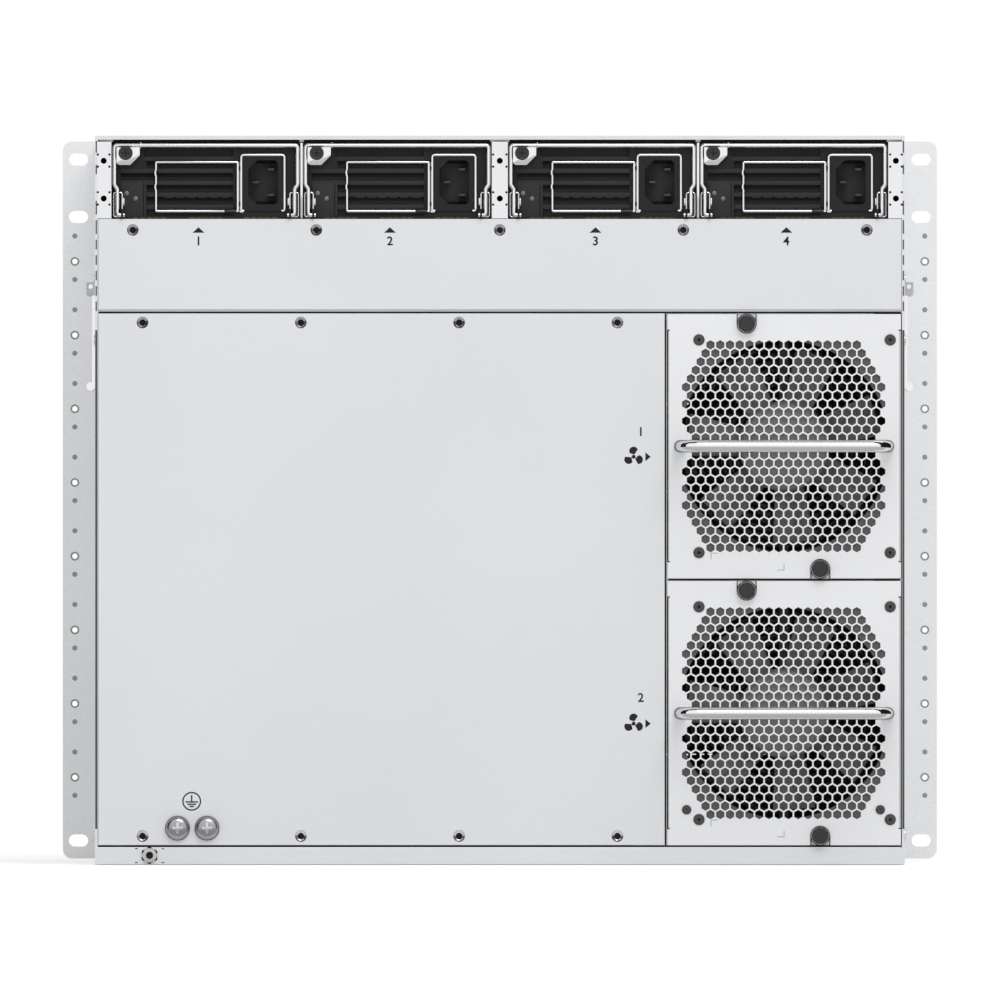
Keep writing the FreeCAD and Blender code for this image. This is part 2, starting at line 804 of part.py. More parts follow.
# Two ground screws with their washers, through the rear panel
def make_ground_screws():
    head = S.ground_screw_head / 2
    washer = S.ground_washer / 2
    shank = S.ground_screw_shank / 2
    face = rear - S.ground_screw_height_out
    under = rear - S.ground_washer_sheet
    tip = rear + S.ground_screw_reach
    profile = [
        (0, face), (head - S.ground_screw_dome, face), (head, face + S.ground_screw_dome), (head, under),
        (washer, under), (washer, rear),
        (shank, rear), (shank, tip), (0, tip),
    ]
    screws = []
    for number, side in ((1, -1), (2, 1)):
        x = ground_screw_x + S.ground_screw_pitch / 2 * side
        screw = turned(f"ground_screw_{number}", profile, x, S.ground_screw_height)
        span, width = S.ground_cross_span, S.ground_cross_width
        cross = cross_recess(f"ground_cross_{number}", screw, x, S.ground_screw_height, face, span, width)
        screws.append(cross)
    return node(group("ground_screw_pair", screws), "ground_screws")


def cross_recess(name, screw, x, z, face, span, width):
    """A cross-shaped driver recess in a screw head that faces -Y."""
    depth = (face - CUT_PAST, face + S.driver_cross_depth)
    bars = [
        block(f"{name}_bar", (x - span / 2, x + span / 2), depth, (z - width / 2, z + width / 2)),
        block(f"{name}_post", (x - width / 2, x + width / 2), depth, (z - span / 2, z + span / 2)),
    ]
    return cut(name, screw, bars)


# Midplane board: carries the card sockets, with air windows between the slots
def make_midplane():
    place_y = (S.midplane_y, midplane_front)
    board = block("midplane_board", (-inner, inner), place_y, (S.wall, partition_height))
    windows = []
    for slot in range(1, int(float(S.slot_count))):
        middle = S.beam_height + slot_pitch * slot
        tall = (middle - S.midplane_window / 2, middle + S.midplane_window / 2)
        windows.append(block(f"midplane_window_{slot}", (-plug_half, plug_half),
                             (S.midplane_y - CUT_PAST, midplane_front + CUT_PAST), tall))
    return node(cut("midplane_cut", board, windows), "midplane")


# Power bay: shelf, dividers, posts, roof strip and one screw tongue for each supply
def make_power_bay():
    shelf_z = (power_cover_top - S.frame_sheet, power_cover_top)
    rise = (power_cover_top, bay_roof)
    post_rise = (power_cover_top + S.seat_gap, bay_roof)
    post_y = (rear, panel_back)
    web_y = (panel_back, bay_back)
    thin = S.bay_divider
    pieces = [
        block("bay_shelf", (-inner, inner), (panel_back, bay_back + S.frame_sheet), shelf_z),
        block("bay_back_flange", (-inner, inner), (bay_back, bay_back + S.frame_sheet),
              (power_cover_top, power_cover_top + S.bay_flange_height)),
        block("bay_roof", (-inner, inner), (supply_face, supply_face + S.bay_roof_depth),
              (bay_roof, cover_under)),
        block("bay_centre_post", (-S.centre_post_half, S.centre_post_half), post_y, post_rise),
    ]
    for side, label in ((-1, "left"), (1, "right")):
        def span(low, high):
            return (low, high) if side > 0 else (-high, -low)

        web = span(S.centre_post_half - thin, S.centre_post_half)
        post_web = span(side_post_inner, side_post_inner + thin)
        divider = span(bay_divider_x - thin / 2, bay_divider_x + thin / 2)
        pieces += [
            block(f"bay_web_{label}", web, web_y, rise),
            block(f"bay_post_{label}", span(side_post_inner, inner), post_y, post_rise),
            block(f"bay_post_web_{label}", post_web, web_y, rise),
            block(f"bay_divider_{label}", divider, (supply_face + 1, bay_back), rise),
        ]
    holes = []
    tongue_face = supply_face + S.supply_face + S.seat_gap
    tongue_y = (tongue_face, tongue_face + S.frame_sheet)
    for number, centre in supply_centres():
        reach = (centre + S.tab_left, centre + S.tab_right - S.tongue_inset)
        tall = (cover_under - S.tongue_drop, bay_roof)
        pieces.append(block(f"bay_tongue_{number}", reach, tongue_y, tall))
        start = (centre + S.latch_x, tongue_y[0] - CUT_PAST, supply_bottom + S.latch_rise)
        bore = S.latch_shank + 2 * S.fit_clearance
        holes.append(rod(f"bay_tongue_hole_{number}", "y", start, bore, S.frame_sheet + 2 * CUT_PAST))
    post_hole_x = half - S.post_hole_inset
    for x in (-post_hole_x, measure(0), post_hole_x):
        for z in (S.body_height - S.post_hole_low_drop, S.body_height - S.post_hole_high_drop):
            holes.append(rod(f"bay_post_hole_{len(holes)}", "y", (x, rear - CUT_PAST, z), S.post_hole_bore,
                             S.panel_thickness + 2 * CUT_PAST))
    return node(cut("power_bay_cut", fuse("power_bay_folded", pieces), holes), "power_bay")


def supply_centres():
    places = (-supply_outer_centre, -supply_inner_centre, supply_inner_centre, supply_outer_centre)
    return list(enumerate(places, start=1))


# Power board behind the supplies, with one socket for each
def make_power_board():
    face = bay_back + S.frame_sheet
    pieces = [block("power_board_sheet", (-inner, inner), (face, face + S.board_thickness),
                    (power_cover_top, bay_roof))]
    for number, centre in supply_centres():
        reach = (centre - S.socket_half, centre + S.socket_half)
        tall = (supply_bottom + S.socket_low, supply_bottom + S.socket_low + S.socket_height)
        pieces.append(block(f"power_socket_{number}", reach, (bay_back, face), tall))
    return node(fuse("power_board_joined", pieces), "power_board")


# Power supply case: face with recessed air slots, inlet with its blades, handle lugs and clip eyes
def make_supply_case(number, centre):
    name = f"supply_{number}"
    wide = supply_width / 2
    shell_face = supply_face + S.supply_face

    def box(part, x, y, z):
        place = tuple(centre + value for value in x)
        return block(f"{name}_{part}", place, y, tuple(supply_bottom + value for value in z))

    face = box("face", (-wide, wide), (supply_face, shell_face), (measure(0), S.supply_height))
    shell = box("shell", (-wide, wide), (shell_face, supply_back), (measure(0), S.supply_height))
    key = box("key_step", (-wide - 1, -wide + S.key_step_width), (shell_face, supply_back + 1),
              (S.supply_height - S.key_step_height, S.supply_height + 1))
    tail = box("edge_plug", (-S.socket_half, S.socket_half), (supply_back, bay_back - S.seat_gap),
               (S.socket_low, S.socket_low + S.socket_height))
    bezel = box("inlet_bezel", (S.inlet_left, S.inlet_left + S.inlet_width),
                (supply_face - S.inlet_proud, supply_face), (S.inlet_low, S.inlet_low + S.inlet_height))
    grown = [cut(f"{name}_keyed", shell, [key]), face, tail, bezel]
    lug_y = (supply_face - S.bail_lug_depth, supply_face)
    lug_in = S.bail_foot_reach - S.bail_foot_length + S.bail_lug_inset
    for side, label in ((-1, "left"), (1, "right")):
        reach = (lug_in, lug_in + S.bail_lug_thickness)
        reach = reach if side > 0 else (-reach[1], -reach[0])
        grown.append(box(f"lug_{label}", reach, lug_y, (measure(0), S.bail_lug_height)))
    groove = S.clip_wire / 2 + S.fit_clearance
    hook_half = groove + S.clip_hook_wall
    hook_y = (supply_face - S.clip_standoff - S.clip_wire / 2, supply_face)
    hook_x = (S.clip_hinge_x - hook_half, S.clip_hinge_x + hook_half)
    hooks = ((S.clip_hook_low, S.clip_hook_low + S.clip_hook_height),
             (S.clip_hook_high, S.clip_hook_high + S.clip_hook_height))
    for label, tall in zip(("low", "high"), hooks):
        grown.append(box(f"hook_{label}", hook_x, hook_y, tall))
    solid = fuse(f"{name}_grown", grown)

    tools = []
    slot_y = (supply_face - CUT_PAST, supply_face + S.slot_recess)
    for i, (left, low, high) in enumerate(FACE_SLOTS):
        reach = (measure(left), S.inlet_left - S.slot_inlet_gap)
        tools.append(box(f"slot_{i}", reach, slot_y, (measure(low), measure(high))))
    left = centre + S.inlet_socket_left
    right = left + S.inlet_socket_width
    low = supply_bottom + S.inlet_socket_low
    high = low + S.inlet_socket_height
    corner = S.inlet_corner
    small = S.inlet_corner / 3
    outline = [
        (left + corner, low), (right - small, low), (right, low + small), (right, high - small),
        (right - small, high), (left + corner, high), (left, high - corner), (left, low + corner),
    ]
    socket_start = supply_face - S.inlet_proud - 1
    tools.append(upright(f"{name}_inlet_socket", outline, [], socket_start, S.inlet_depth + 1))
    pivot = supply_bottom + S.bail_pivot_rise
    bore = S.bail_wire + 2 * S.fit_clearance
    start = (centre - wide, supply_face - S.bail_standoff, pivot)
    tools.append(rod(f"{name}_lug_bore", "x", start, bore, supply_width))
    groove_x = (S.clip_hinge_x - groove, S.clip_hinge_x + groove)
    groove_y = (hook_y[0] - 1, supply_face - S.clip_standoff + groove)
    groove_z = (S.clip_hook_low - 1, S.clip_hook_high + S.clip_hook_height + 1)
    tools.append(box("hook_groove", groove_x, groove_y, groove_z))
    start = (centre + S.latch_x, supply_face - CUT_PAST, supply_bottom + S.latch_rise)
    tools.append(rod(f"{name}_latch_hole", "y", start, S.latch_shank + S.latch_hole_play,
                     S.supply_face + S.screw_room))
    case = cut(f"{name}_bored", solid, tools)

    blades = [case]
    bottom_y = socket_start + S.inlet_depth + 1
    blade_y = (bottom_y - S.inlet_pin_length, bottom_y + 1)
    middle = S.inlet_socket_low + S.inlet_socket_height / 2
    spread = S.inlet_pin_spread
    pins = ((S.inlet_pin_far, spread), (S.inlet_pin_near, measure(0)), (S.inlet_pin_far, -spread))
    for i, (x, rise) in enumerate(pins):
        reach = (x - S.inlet_pin_width / 2, x + S.inlet_pin_width / 2)
        tall = (middle + rise - S.inlet_pin_thickness / 2, middle + rise + S.inlet_pin_thickness / 2)
        blades.append(box(f"blade_{i}", reach, blade_y, tall))
    return node(fuse(f"{name}_whole", blades), f"supply_{number}_case")


# Supply handle: a wire bow, jogged near its feet, with a screw tab welded to its bar
def make_supply_handle(number, centre):
    name = f"supply_{number}_bow"
    y = supply_face - S.bail_standoff
    foot = supply_bottom + S.bail_pivot_rise
    jog_low = supply_bottom + S.bail_jog_rise - S.bail_jog_slope
    jog_high = supply_bottom + S.bail_jog_rise
    top = supply_bottom + S.bail_top_rise
    tip = S.bail_foot_reach - S.bail_foot_length
    half_route = [
        (tip, foot), (S.bail_foot_reach, foot), (S.bail_foot_reach, jog_low), (S.bail_reach, jog_high),
        (S.bail_reach, top),
    ]
    route = [(centre - x, y, z) for x, z in half_route]
    route += [(centre + x, y, z) for x, z in reversed(half_route)]
    runs = [Vector(*(float(value) for value in point)) for point in route]
    bow = wire_form(name, runs, S.bail_wire)
    left = centre + S.tab_left
    right = centre + S.tab_right
    low = supply_bottom + S.tab_low
    cut_in = S.tab_chamfer
    outline = [
        (left, top), (left, low + S.tab_corner), (left + S.tab_corner, low), (right - cut_in, low),
        (right, low + cut_in),
        (right, top),
    ]
    screw = (centre + S.latch_x, supply_bottom + S.latch_rise, S.latch_shank + S.tab_hole_play)
    tab = upright(f"{name}_tab", outline, [screw], y - S.tab_thickness / 2, S.tab_thickness)
    return node(fuse(f"{name}_joined", [bow, tab]), f"supply_{number}_handle")


# Supply screw, captive in the handle's tab
def make_supply_screw(number, centre):
    y = supply_face - S.bail_standoff
    under = y - S.bail_wire / 2 - S.seat_gap
    face = under - S.latch_head_length
    collar = y - S.tab_thickness / 2
    bevel = S.latch_bevel
    tip = supply_face + S.supply_face + S.seat_gap + S.frame_sheet + bevel
    head, neck, shank = S.latch_head / 2, S.latch_collar / 2, S.latch_shank / 2
    profile = [
        (0, face), (head - bevel, face), (head, face + bevel), (head, under), (neck, under), (neck, collar),
        (shank, collar), (shank, tip - bevel), (shank - bevel, tip), (0, tip),
    ]
    x, z = centre + S.latch_x, supply_bottom + S.latch_rise
    screw = turned(f"supply_{number}_screw_turned", profile, x, z)
    span, width = S.latch_cross_span, S.latch_cross_width
    cross = cross_recess(f"supply_{number}_screw_cross", screw, x, z, face, span, width)
    return node(cross, f"supply_{number}_screw")


# Cable clip: a closed wire loop hinged beside the inlet
def make_cable_clip(number, centre):
    y = float(supply_face - S.clip_standoff)
    near, far = float(centre + S.clip_hinge_x), float(centre + S.clip_far_x)
    low, high = float(supply_bottom + S.clip_low), float(supply_bottom + S.clip_high)
    route = [Vector(near, y, low), Vector(far, y, low), Vector(far, y, high), Vector(near, y, high)]
    clip = wire_form(f"supply_{number}_clip_wire", route, S.clip_wire, closed=True)
    return node(clip, f"supply_{number}_cable_clip")


# Fan tray: vented front, a sleeve round the fan, and brackets that hold its two screws
def tray_bottom(number):
    return S.tray_low_bottom + tray_pitch * (2 - number)


def thumb_places(number):
    bottom = tray_bottom(number)
    upper = ("upper", tray_left + S.thumb_upper_inset, bottom + tray_height - S.thumb_inset)
    return [upper, ("lower", tray_left + S.thumb_lower_inset, bottom + S.thumb_inset)]


def vent_edge(height):
    """Half the vent field's width at a height above or below its middle."""
    height = abs(height)
    if height < float(S.vent_foot_height):
        return float(S.vent_foot_reach)
    shoulder = float(S.vent_shoulder_height)
    if height <= shoulder:
        return float(S.vent_half_width)
    half_height = float(tray_height / 2 - S.vent_margin)
    slope = float(S.vent_half_width - S.vent_shoulder_width) / (half_height - shoulder)
    return float(S.vent_half_width) - (height - shoulder) * slope


def make_vent_cutter(number):
    """Hexagonal holes in offset rows, point up, that fit the vent field."""
    pitch = float(S.vent_pitch)
    radius = (pitch - float(S.vent_web)) / math.sqrt(3)
    row_step = pitch * math.sqrt(3) / 2
    rows = int((float(tray_height / 2 - S.vent_margin) - radius) / row_step)
    middle_x = float(tray_middle_x)
    middle_z = float(tray_bottom(number) + tray_height / 2)
    holes = []
    for row in range(-rows, rows + 1):
        reach = vent_edge(row * row_step) - pitch / 2
        shift = 0.5 if row % 2 == 0 else 0.0
        columns = range(-20, 21)
        for x in ((column + shift) * pitch for column in columns):
            if abs(x) > reach:
                continue
            centre = Vector(middle_x + x, float(rear) - CUT_PAST, middle_z + row * row_step)
            corners = []
            for k in range(7):
                turn = math.radians(60 * k + 30)
                corners.append(centre + Vector(radius * math.cos(turn), 0, radius * math.sin(turn)))
            hexagon = Part.Face(Part.makePolygon(corners))
            holes.append(hexagon.extrude(Vector(0, float(S.panel_thickness) + 2 * CUT_PAST, 0)))
    cutter = doc.addObject("Part::Feature", f"vent_holes_{number}")
    cutter.Shape = Part.makeCompound(holes)
    return cutter


def make_fan_tray(number):
    name = f"tray_{number}"
    bottom = tray_bottom(number)
    top = bottom + tray_height
    middle = bottom + tray_height / 2
    notch = S.thumb_head / 2 + S.seat_gap
    front_sheet = block(f"{name}_front", (tray_left, tray_right), (rear, panel_back), (bottom, top))
    notches = []
    for place, x, z in thumb_places(number):
        end = top + 1 if place == "upper" else bottom - 1
        tall = (z, end) if place == "upper" else (end, z)
        through = (rear - CUT_PAST, panel_back + 1)
        start = (x, through[0], z)
        notches.append(block(f"{name}_notch_{place}", (x - notch, x + notch), through, tall))
        depth = S.panel_thickness + 2 * CUT_PAST
        notches.append(rod(f"{name}_notch_round_{place}", "y", start, notch * 2, depth))
    notched = cut(f"{name}_notched", front_sheet, notches)
    vented = cut(f"{name}_vented", notched, [make_vent_cutter(number)])
    pieces = [vented]
    sleeve_in = fan_square / 2 + S.seat_gap
    sleeve_out = sleeve_in + S.frame_sheet
    sleeve_y = (panel_back, panel_back + S.tray_shell_depth)
    spans = (("left", -1), ("right", 1))
    for label, side in spans:
        reach = (sleeve_in, sleeve_out) if side > 0 else (-sleeve_out, -sleeve_in)
        across = tuple(tray_middle_x + value for value in reach)
        whole_height = (middle - sleeve_out, middle + sleeve_out)
        pieces.append(block(f"{name}_sleeve_{label}", across, sleeve_y, whole_height))
        full = (tray_middle_x - sleeve_out, tray_middle_x + sleeve_out)
        tall = tuple(middle + value for value in reach)
        pieces.append(block(f"{name}_sleeve_level_{label}", full, sleeve_y, tall))
    bracket_y = (panel_back, panel_back + S.frame_sheet)
    holes = []
    for place, x, z in thumb_places(number):
        reach = (x - S.thumb_bracket_half, x + S.thumb_bracket_half)
        ends = (top - S.bracket_inset, bottom + S.bracket_inset)
        tall = (middle + sleeve_out, ends[0]) if place == "upper" else (ends[1], middle - sleeve_out)
        pieces.append(block(f"{name}_bracket_{place}", reach, bracket_y, tall))
        start = (x, panel_back - CUT_PAST, z)
        holes.append(rod(f"{name}_bracket_hole_{place}", "y", start, S.thumb_shank + S.thumb_hole_play,
                         S.frame_sheet + 2 * CUT_PAST))
    for i, x in enumerate((tray_left + S.rivet_left_inset, tray_right - S.rivet_right_inset)):
        for j, z in enumerate((bottom + S.rivet_inset, top - S.rivet_inset)):
            start = (x, rear - S.rivet_proud, z)
            pieces.append(rod(f"{name}_rivet_{i}{j}", "y", start, S.rivet_diameter,
                              S.rivet_proud + S.rivet_sunk))
    return node(cut(f"{name}_drilled", fuse(f"{name}_joined", pieces), holes), f"fan_tray_{number}")


def make_tray_grip(number):
    """The tray's round bar handle."""
    z = tray_bottom(number) + tray_height / 2
    out = rear - S.grip_standoff
    left, right = tray_left + S.grip_left_inset, tray_right - S.grip_right_inset
    route = [(left, rear, z), (left, out, z), (right, out, z), (right, rear, z)]
    bar = wire_form(f"tray_{number}_grip_bar", route, S.grip_bar, S.grip_bend)
    return node(bar, f"fan_tray_{number}_handle")


def make_thumb_screw(number, place, x, z):
    """A captive tray screw: a knurled head with a cap, seated on the tray's bracket."""
    seat = panel_back - S.fit_clearance
    face = seat - S.thumb_head_length
    tip = frame_face + S.thumb_reach
    head, cap, shank = S.thumb_head / 2, S.thumb_cap / 2, S.thumb_shank / 2
    proud, bevel = S.thumb_cap_proud, S.thumb_bevel
    profile = [
        (0, face - proud), (cap - bevel, face - proud), (cap, face + bevel - proud), (cap, face),
        (head - bevel / 2, face), (head, face + bevel / 2), (head, seat), (shank, seat),
        (shank, tip - proud), (shank - proud, tip), (0, tip),
    ]
    screw = turned(f"tray_{number}_screw_{place}", profile, x, z)
    return node(screw, f"fan_tray_{number}_screw_{place}")


# Axial fan: square frame with a round duct, a motor plate on four arms, and the bladed rotor
def make_fan_frame(number):
    name = f"fan_{number}"
    z = tray_bottom(number) + tray_height / 2
    side = fan_square / 2
    near = panel_back + S.seat_gap
    far = near + S.fan_depth
    across = (tray_middle_x - side, tray_middle_x + side)
    square = block(f"{name}_square", across, (near, far), (z - side, z + side))
    duct = rod(f"{name}_duct", "y", (tray_middle_x, near - CUT_PAST, z), fan_duct,
               S.fan_depth + 2 * CUT_PAST)
    spider_y = (far - S.fan_spider, far)
    arm = S.fan_arm_width / 2
    wide = fan_duct / 2 + 1
    x = tray_middle_x
    arms = [
        block(f"{name}_arm_level", (x - wide, x + wide), spider_y, (z - arm, z + arm)),
        block(f"{name}_arm_upright", (x - arm, x + arm), spider_y, (z - wide, z + wide)),
        rod(f"{name}_motor_plate", "y", (tray_middle_x, spider_y[0], z), S.fan_hub, S.fan_spider),
    ]
    whole = fuse(f"{name}_frame_joined", [cut(f"{name}_ducted", square, [duct])] + arms)
    bearing = S.fan_shaft + 2 * S.fit_clearance
    start = (tray_middle_x, spider_y[0] - CUT_PAST, z)
    hole = rod(f"{name}_bearing", "y", start, bearing, S.fan_spider + 2 * CUT_PAST)
    return node(cut(f"{name}_frame_bored", whole, [hole]), f"fan_{number}_frame")


def blade_section(radius, chord, pitch, thickness, middle):
    """One cross-section of a fan blade: a thin bowed plate at a radius, set at a pitch angle."""
    bow = chord * BLADE_BOW
    spots = [(-chord / 2, 0), (0, bow), (chord / 2, 0), (chord / 2, thickness), (0, bow + thickness),
             (-chord / 2, thickness)]
    turn = math.radians(pitch)
    points = []
    for a, b in spots:
        around = a * math.cos(turn) - b * math.sin(turn)
        along = a * math.sin(turn) + b * math.cos(turn)
        points.append(Vector(around, middle + along, radius))
    return Part.makePolygon(points + points[:1])


def make_fan_rotor(number):
    name = f"fan_{number}_rotor"
    z = tray_bottom(number) + tray_height / 2
    near = panel_back + S.seat_gap + S.fan_hub_recess
    far = near + S.fan_hub_length
    motor = panel_back + S.seat_gap + S.fan_depth - S.fan_spider
    shaft_end = motor + S.fan_spider - S.fan_shaft_short
    hub, shaft = S.fan_hub / 2, S.fan_shaft / 2
    profile = [
        (0, near), (hub - S.fan_hub_bevel, near), (hub, near + S.fan_hub_bevel), (hub, far), (shaft, far),
        (shaft, shaft_end), (0, shaft_end),
    ]
    core = turned(f"{name}_hub", profile, tray_middle_x, z)
    middle = float((near + far) / 2)
    thickness = float(S.fan_blade_thickness)
    root_chord, tip_chord = float(S.fan_root_chord), float(S.fan_tip_chord)
    root_radius = float(hub) * BLADE_ROOT_REACH
    root = blade_section(root_radius, root_chord, float(S.fan_root_pitch), thickness, middle)
    tip_radius = math.sqrt(float(fan_rotor / 2) ** 2 - (tip_chord / 2) ** 2)
    tip = blade_section(tip_radius, tip_chord, float(S.fan_tip_pitch), thickness, middle)
    blade = Part.makeLoft([root, tip], True, True)
    axis_point = Vector(float(tray_middle_x), 0, float(z))
    count = int(float(S.fan_blades))
    blades = []
    for i in range(count):
        one = doc.addObject("Part::Feature", f"{name}_blade_{i}")
        one.Shape = blade
        turn = FreeCAD.Rotation(Vector(0, 1, 0), 360.0 * i / count)
        one.Placement = FreeCAD.Placement(axis_point, turn)
        blades.append(one)
    return node(fuse(f"{name}_bladed", [core] + blades), name)


# Card: board, front plate, rear plug and the block of ports set in its front
def slot_bottom(slot):
    return S.beam_height + slot_pitch * slot


def make_card(name, slot):
    low = slot_bottom(slot)
    wide = inner - S.card_edge_gap
    plate_back = front - S.card_front
    board_half = inner - S.guide_depth + S.card_guide_grip
    board_low = low + S.guide_rise + S.seat_gap
    board_top = board_low + S.card_board
    plate_z = (low + S.card_gap, low + slot_pitch - S.card_gap)
    board_y = (midplane_front + S.seat_gap + S.board_short, plate_back + S.board_lap)
    plate = block(f"{name}_plate", (-wide, wide), (plate_back, front), plate_z)
    ports = block(f"{name}_port_block", (-port_half, port_half), (front - S.port_block_depth, front),
                  (board_top, board_top + S.port_height))
    pieces = [
        plate,
        block(f"{name}_board", (-board_half, board_half), board_y, (board_low, board_top)),
        block(f"{name}_plug", (S.plug_play - plug_half, plug_half - S.plug_play),
              (midplane_front + S.seat_gap, midplane_front + S.seat_gap + S.plug_depth),
              (board_top, board_top + S.plug_height)),
        ports,
    ]
    pivot_z = low + slot_pitch / 2
    lug_near = S.lever_width / 2 + S.seat_gap
    lug_far = lug_near + S.lever_lug
    lug_y = (front, front + S.lever_standoff + S.lever_pin)
    lug_places = (
        ("under", (pivot_z - lug_far, pivot_z - lug_near)),
        ("over", (pivot_z + lug_near, pivot_z + lug_far)),
    )
    for side, label in ((-1, "left"), (1, "right")):
        x = lever_pivot(side)
        for edge, tall in lug_places:
            reach = (x - S.lever_lug_half, x + S.lever_lug_half)
            pieces.append(block(f"{name}_lug_{label}_{edge}", reach, lug_y, tall))
    whole = fuse(f"{name}_joined", pieces)
    bores = []
    for side, label in ((-1, "left"), (1, "right")):
        start = (lever_pivot(side), front + S.lever_standoff, pivot_z - S.lever_width)
        bore = S.lever_pin + 2 * S.fit_clearance
        bores.append(rod(f"{name}_bore_{label}", "z", start, bore, S.lever_width * 2))
    return node(cut(f"{name}_bored", whole, bores), name)


def lever_pivot(side):
    return side * (inner - S.lever_pivot_inset)


def make_lever(name, slot, side):
    """A card lever that lies along the front plate and turns on its own pin."""
    x = lever_pivot(side)
    y = front + S.lever_standoff
    z = slot_bottom(slot) + slot_pitch / 2
    tall = (z - S.lever_width / 2, z + S.lever_width / 2)
    thick = S.lever_thickness / 2
    tip = x - side * S.lever_length
    reach = (tip, x) if side > 0 else (x, tip)
    arm = block(f"{name}_arm", reach, (y - thick, y + thick), tall)
    grip_end = tip + side * S.lever_grip
    grip_reach = (tip, grip_end) if side > 0 else (grip_end, tip)
    grip = block(f"{name}_grip", grip_reach, (y - thick, y + S.lever_thickness), tall)
    boss = rod(f"{name}_boss", "z", (x, y, tall[0]), S.lever_boss, S.lever_width)
    pin_start = (x, y, tall[0] - S.lever_lug - S.seat_gap)
    pin = rod(f"{name}_pin", "z", pin_start, S.lever_pin, S.lever_width + 2 * (S.lever_lug + S.seat_gap))
    return node(fuse(f"{name}_joined", [arm, grip, boss, pin]), name)


# Blank panel for an empty slot: a plate with folded top and bottom edges
def make_blank(name, slot):
    low = slot_bottom(slot)
    wide = inner - S.card_edge_gap
    fold_half = inner - S.guide_depth - S.card_edge_gap
    tall = (low + S.card_gap, low + slot_pitch - S.card_gap)
    fold_y = (front - S.blank_flange, front)
    pieces = [
        block(f"{name}_plate", (-wide, wide), (front - S.card_front, front), tall),
        block(f"{name}_fold_low", (-fold_half, fold_half), fold_y, (tall[0], tall[0] + S.frame_sheet)),
        block(f"{name}_fold_high", (-fold_half, fold_half), fold_y, (tall[1] - S.frame_sheet, tall[1])),
    ]
    return node(fuse(f"{name}_joined", pieces), name)


# Side carry handle: a plate with two lugs, and a strap handle that hangs flat and swings out
def make_handle_plate(name, side):
    def span(low, high):
        low, high = half + low, half + high
        return (low, high) if side > 0 else (-high, -low)

    plate_x = span(measure(0), S.side_plate_sheet)
    plate_y = (-S.side_plate_half, S.side_plate_half)
    plate_high = S.body_height - S.side_plate_drop
    pieces = [block(f"{name}_sheet", plate_x, plate_y, (plate_high - S.side_plate_height, plate_high))]
    lug_x = span(measure(0), S.side_pivot_x + S.side_eye / 2)
    lug_z = (side_pivot_z - S.side_eye, side_pivot_z + S.side_eye / 2)
    lug_low = S.side_strap_half + S.seat_gap
    lug_high = lug_low + S.side_lug_width
    for end, lug_y in (("near", (-lug_high, -lug_low)), ("far", (lug_low, lug_high))):
        pieces.append(block(f"{name}_lug_{end}", lug_x, lug_y, lug_z))
    solid = fuse(f"{name}_joined", pieces)
    start = (side * (half + S.side_pivot_x), -S.side_plate_half, side_pivot_z)
    bore = rod(f"{name}_bore", "y", start, S.side_pin + 2 * S.fit_clearance, S.side_plate_half * 2)
    return node(cut(f"{name}_bored", solid, [bore]), name)


def make_side_handle(name, side):
    x = side * (half + S.side_pivot_x)
    thick = S.side_strap_sheet
    back = S.side_pivot_x - S.side_eye / 2
    strap = (half + back, half + back + thick)
    strap_x = strap if side > 0 else (-strap[1], -strap[0])
    ends = S.side_strap_half
    grip_start = (x, -ends, side_grip_z)
    pieces = [rod(f"{name}_bar", "y", grip_start, S.side_grip, ends * 2)]
    for end, low in (("near", -ends), ("far", ends - S.side_strap_width)):
        strap_y = (low, low + S.side_strap_width)
        pieces.append(block(f"{name}_strap_{end}", strap_x, strap_y, (side_grip_z, side_pivot_z)))
        pieces.append(rod(f"{name}_eye_{end}", "y", (x, low, side_pivot_z), S.side_eye, S.side_strap_width))
        reach = S.seat_gap + S.side_lug_width
        pin_low = low - reach if end == "near" else ends
        pieces.append(rod(f"{name}_pin_{end}", "y", (x, pin_low, side_pivot_z), S.side_pin, reach))
    return node(fuse(f"{name}_joined", pieces), name)


make_base_pan()
make_side_wall("side_wall_left", -1)
make_side_wall("side_wall_right", 1)
make_top_cover()
make_rear_frame()
make_rear_panel()
make_power_cover()
make_ear("ear_left", -1)
make_ear("ear_right", 1)
make_jack()
make_ground_screws()
make_midplane()
make_power_bay()
make_power_board()
for supply, middle_x in supply_centres():
    make_supply_case(supply, middle_x)
    make_supply_handle(supply, middle_x)
    make_supply_screw(supply, middle_x)
    make_cable_clip(supply, middle_x)
for tray in (1, 2):
    make_fan_tray(tray)
    make_tray_grip(tray)
    for where, thumb_x, thumb_z in thumb_places(tray):
        make_thumb_screw(tray, where, thumb_x, thumb_z)
    make_fan_frame(tray)
    make_fan_rotor(tray)
CARDS = (("line_card_1", 4), ("control_card_1", 3), ("control_card_2", 2), ("line_card_2", 1))
for card, slot_number in CARDS:
    make_card(card, slot_number)
    make_lever(f"{card}_lever_left", slot_number, -1)
    make_lever(f"{card}_lever_right", slot_number, 1)
make_blank("blank_panel_upper", 5)
make_blank("blank_panel_lower", 0)
for word, direction in (("left", -1), ("right", 1)):
    make_handle_plate(f"handle_plate_{word}", direction)
    make_side_handle(f"side_handle_{word}", direction)

doc.recompute()
for thing in doc.Objects:
    faults = [word for word in thing.State if word in ("Invalid", "Error")]
    if faults:
        raise RuntimeError(f"{thing.Label} did not build: {faults}")
for piece in NODES:
    if piece.Shape.isNull() or not piece.Shape.isValid():
        raise RuntimeError(f"{piece.Label} has no sound shape")

os.makedirs("parts", exist_ok=True)
for piece in NODES:
    piece.Shape.exportStep(f"parts/{piece.Label}.step")
print(len(NODES), "pieces written")
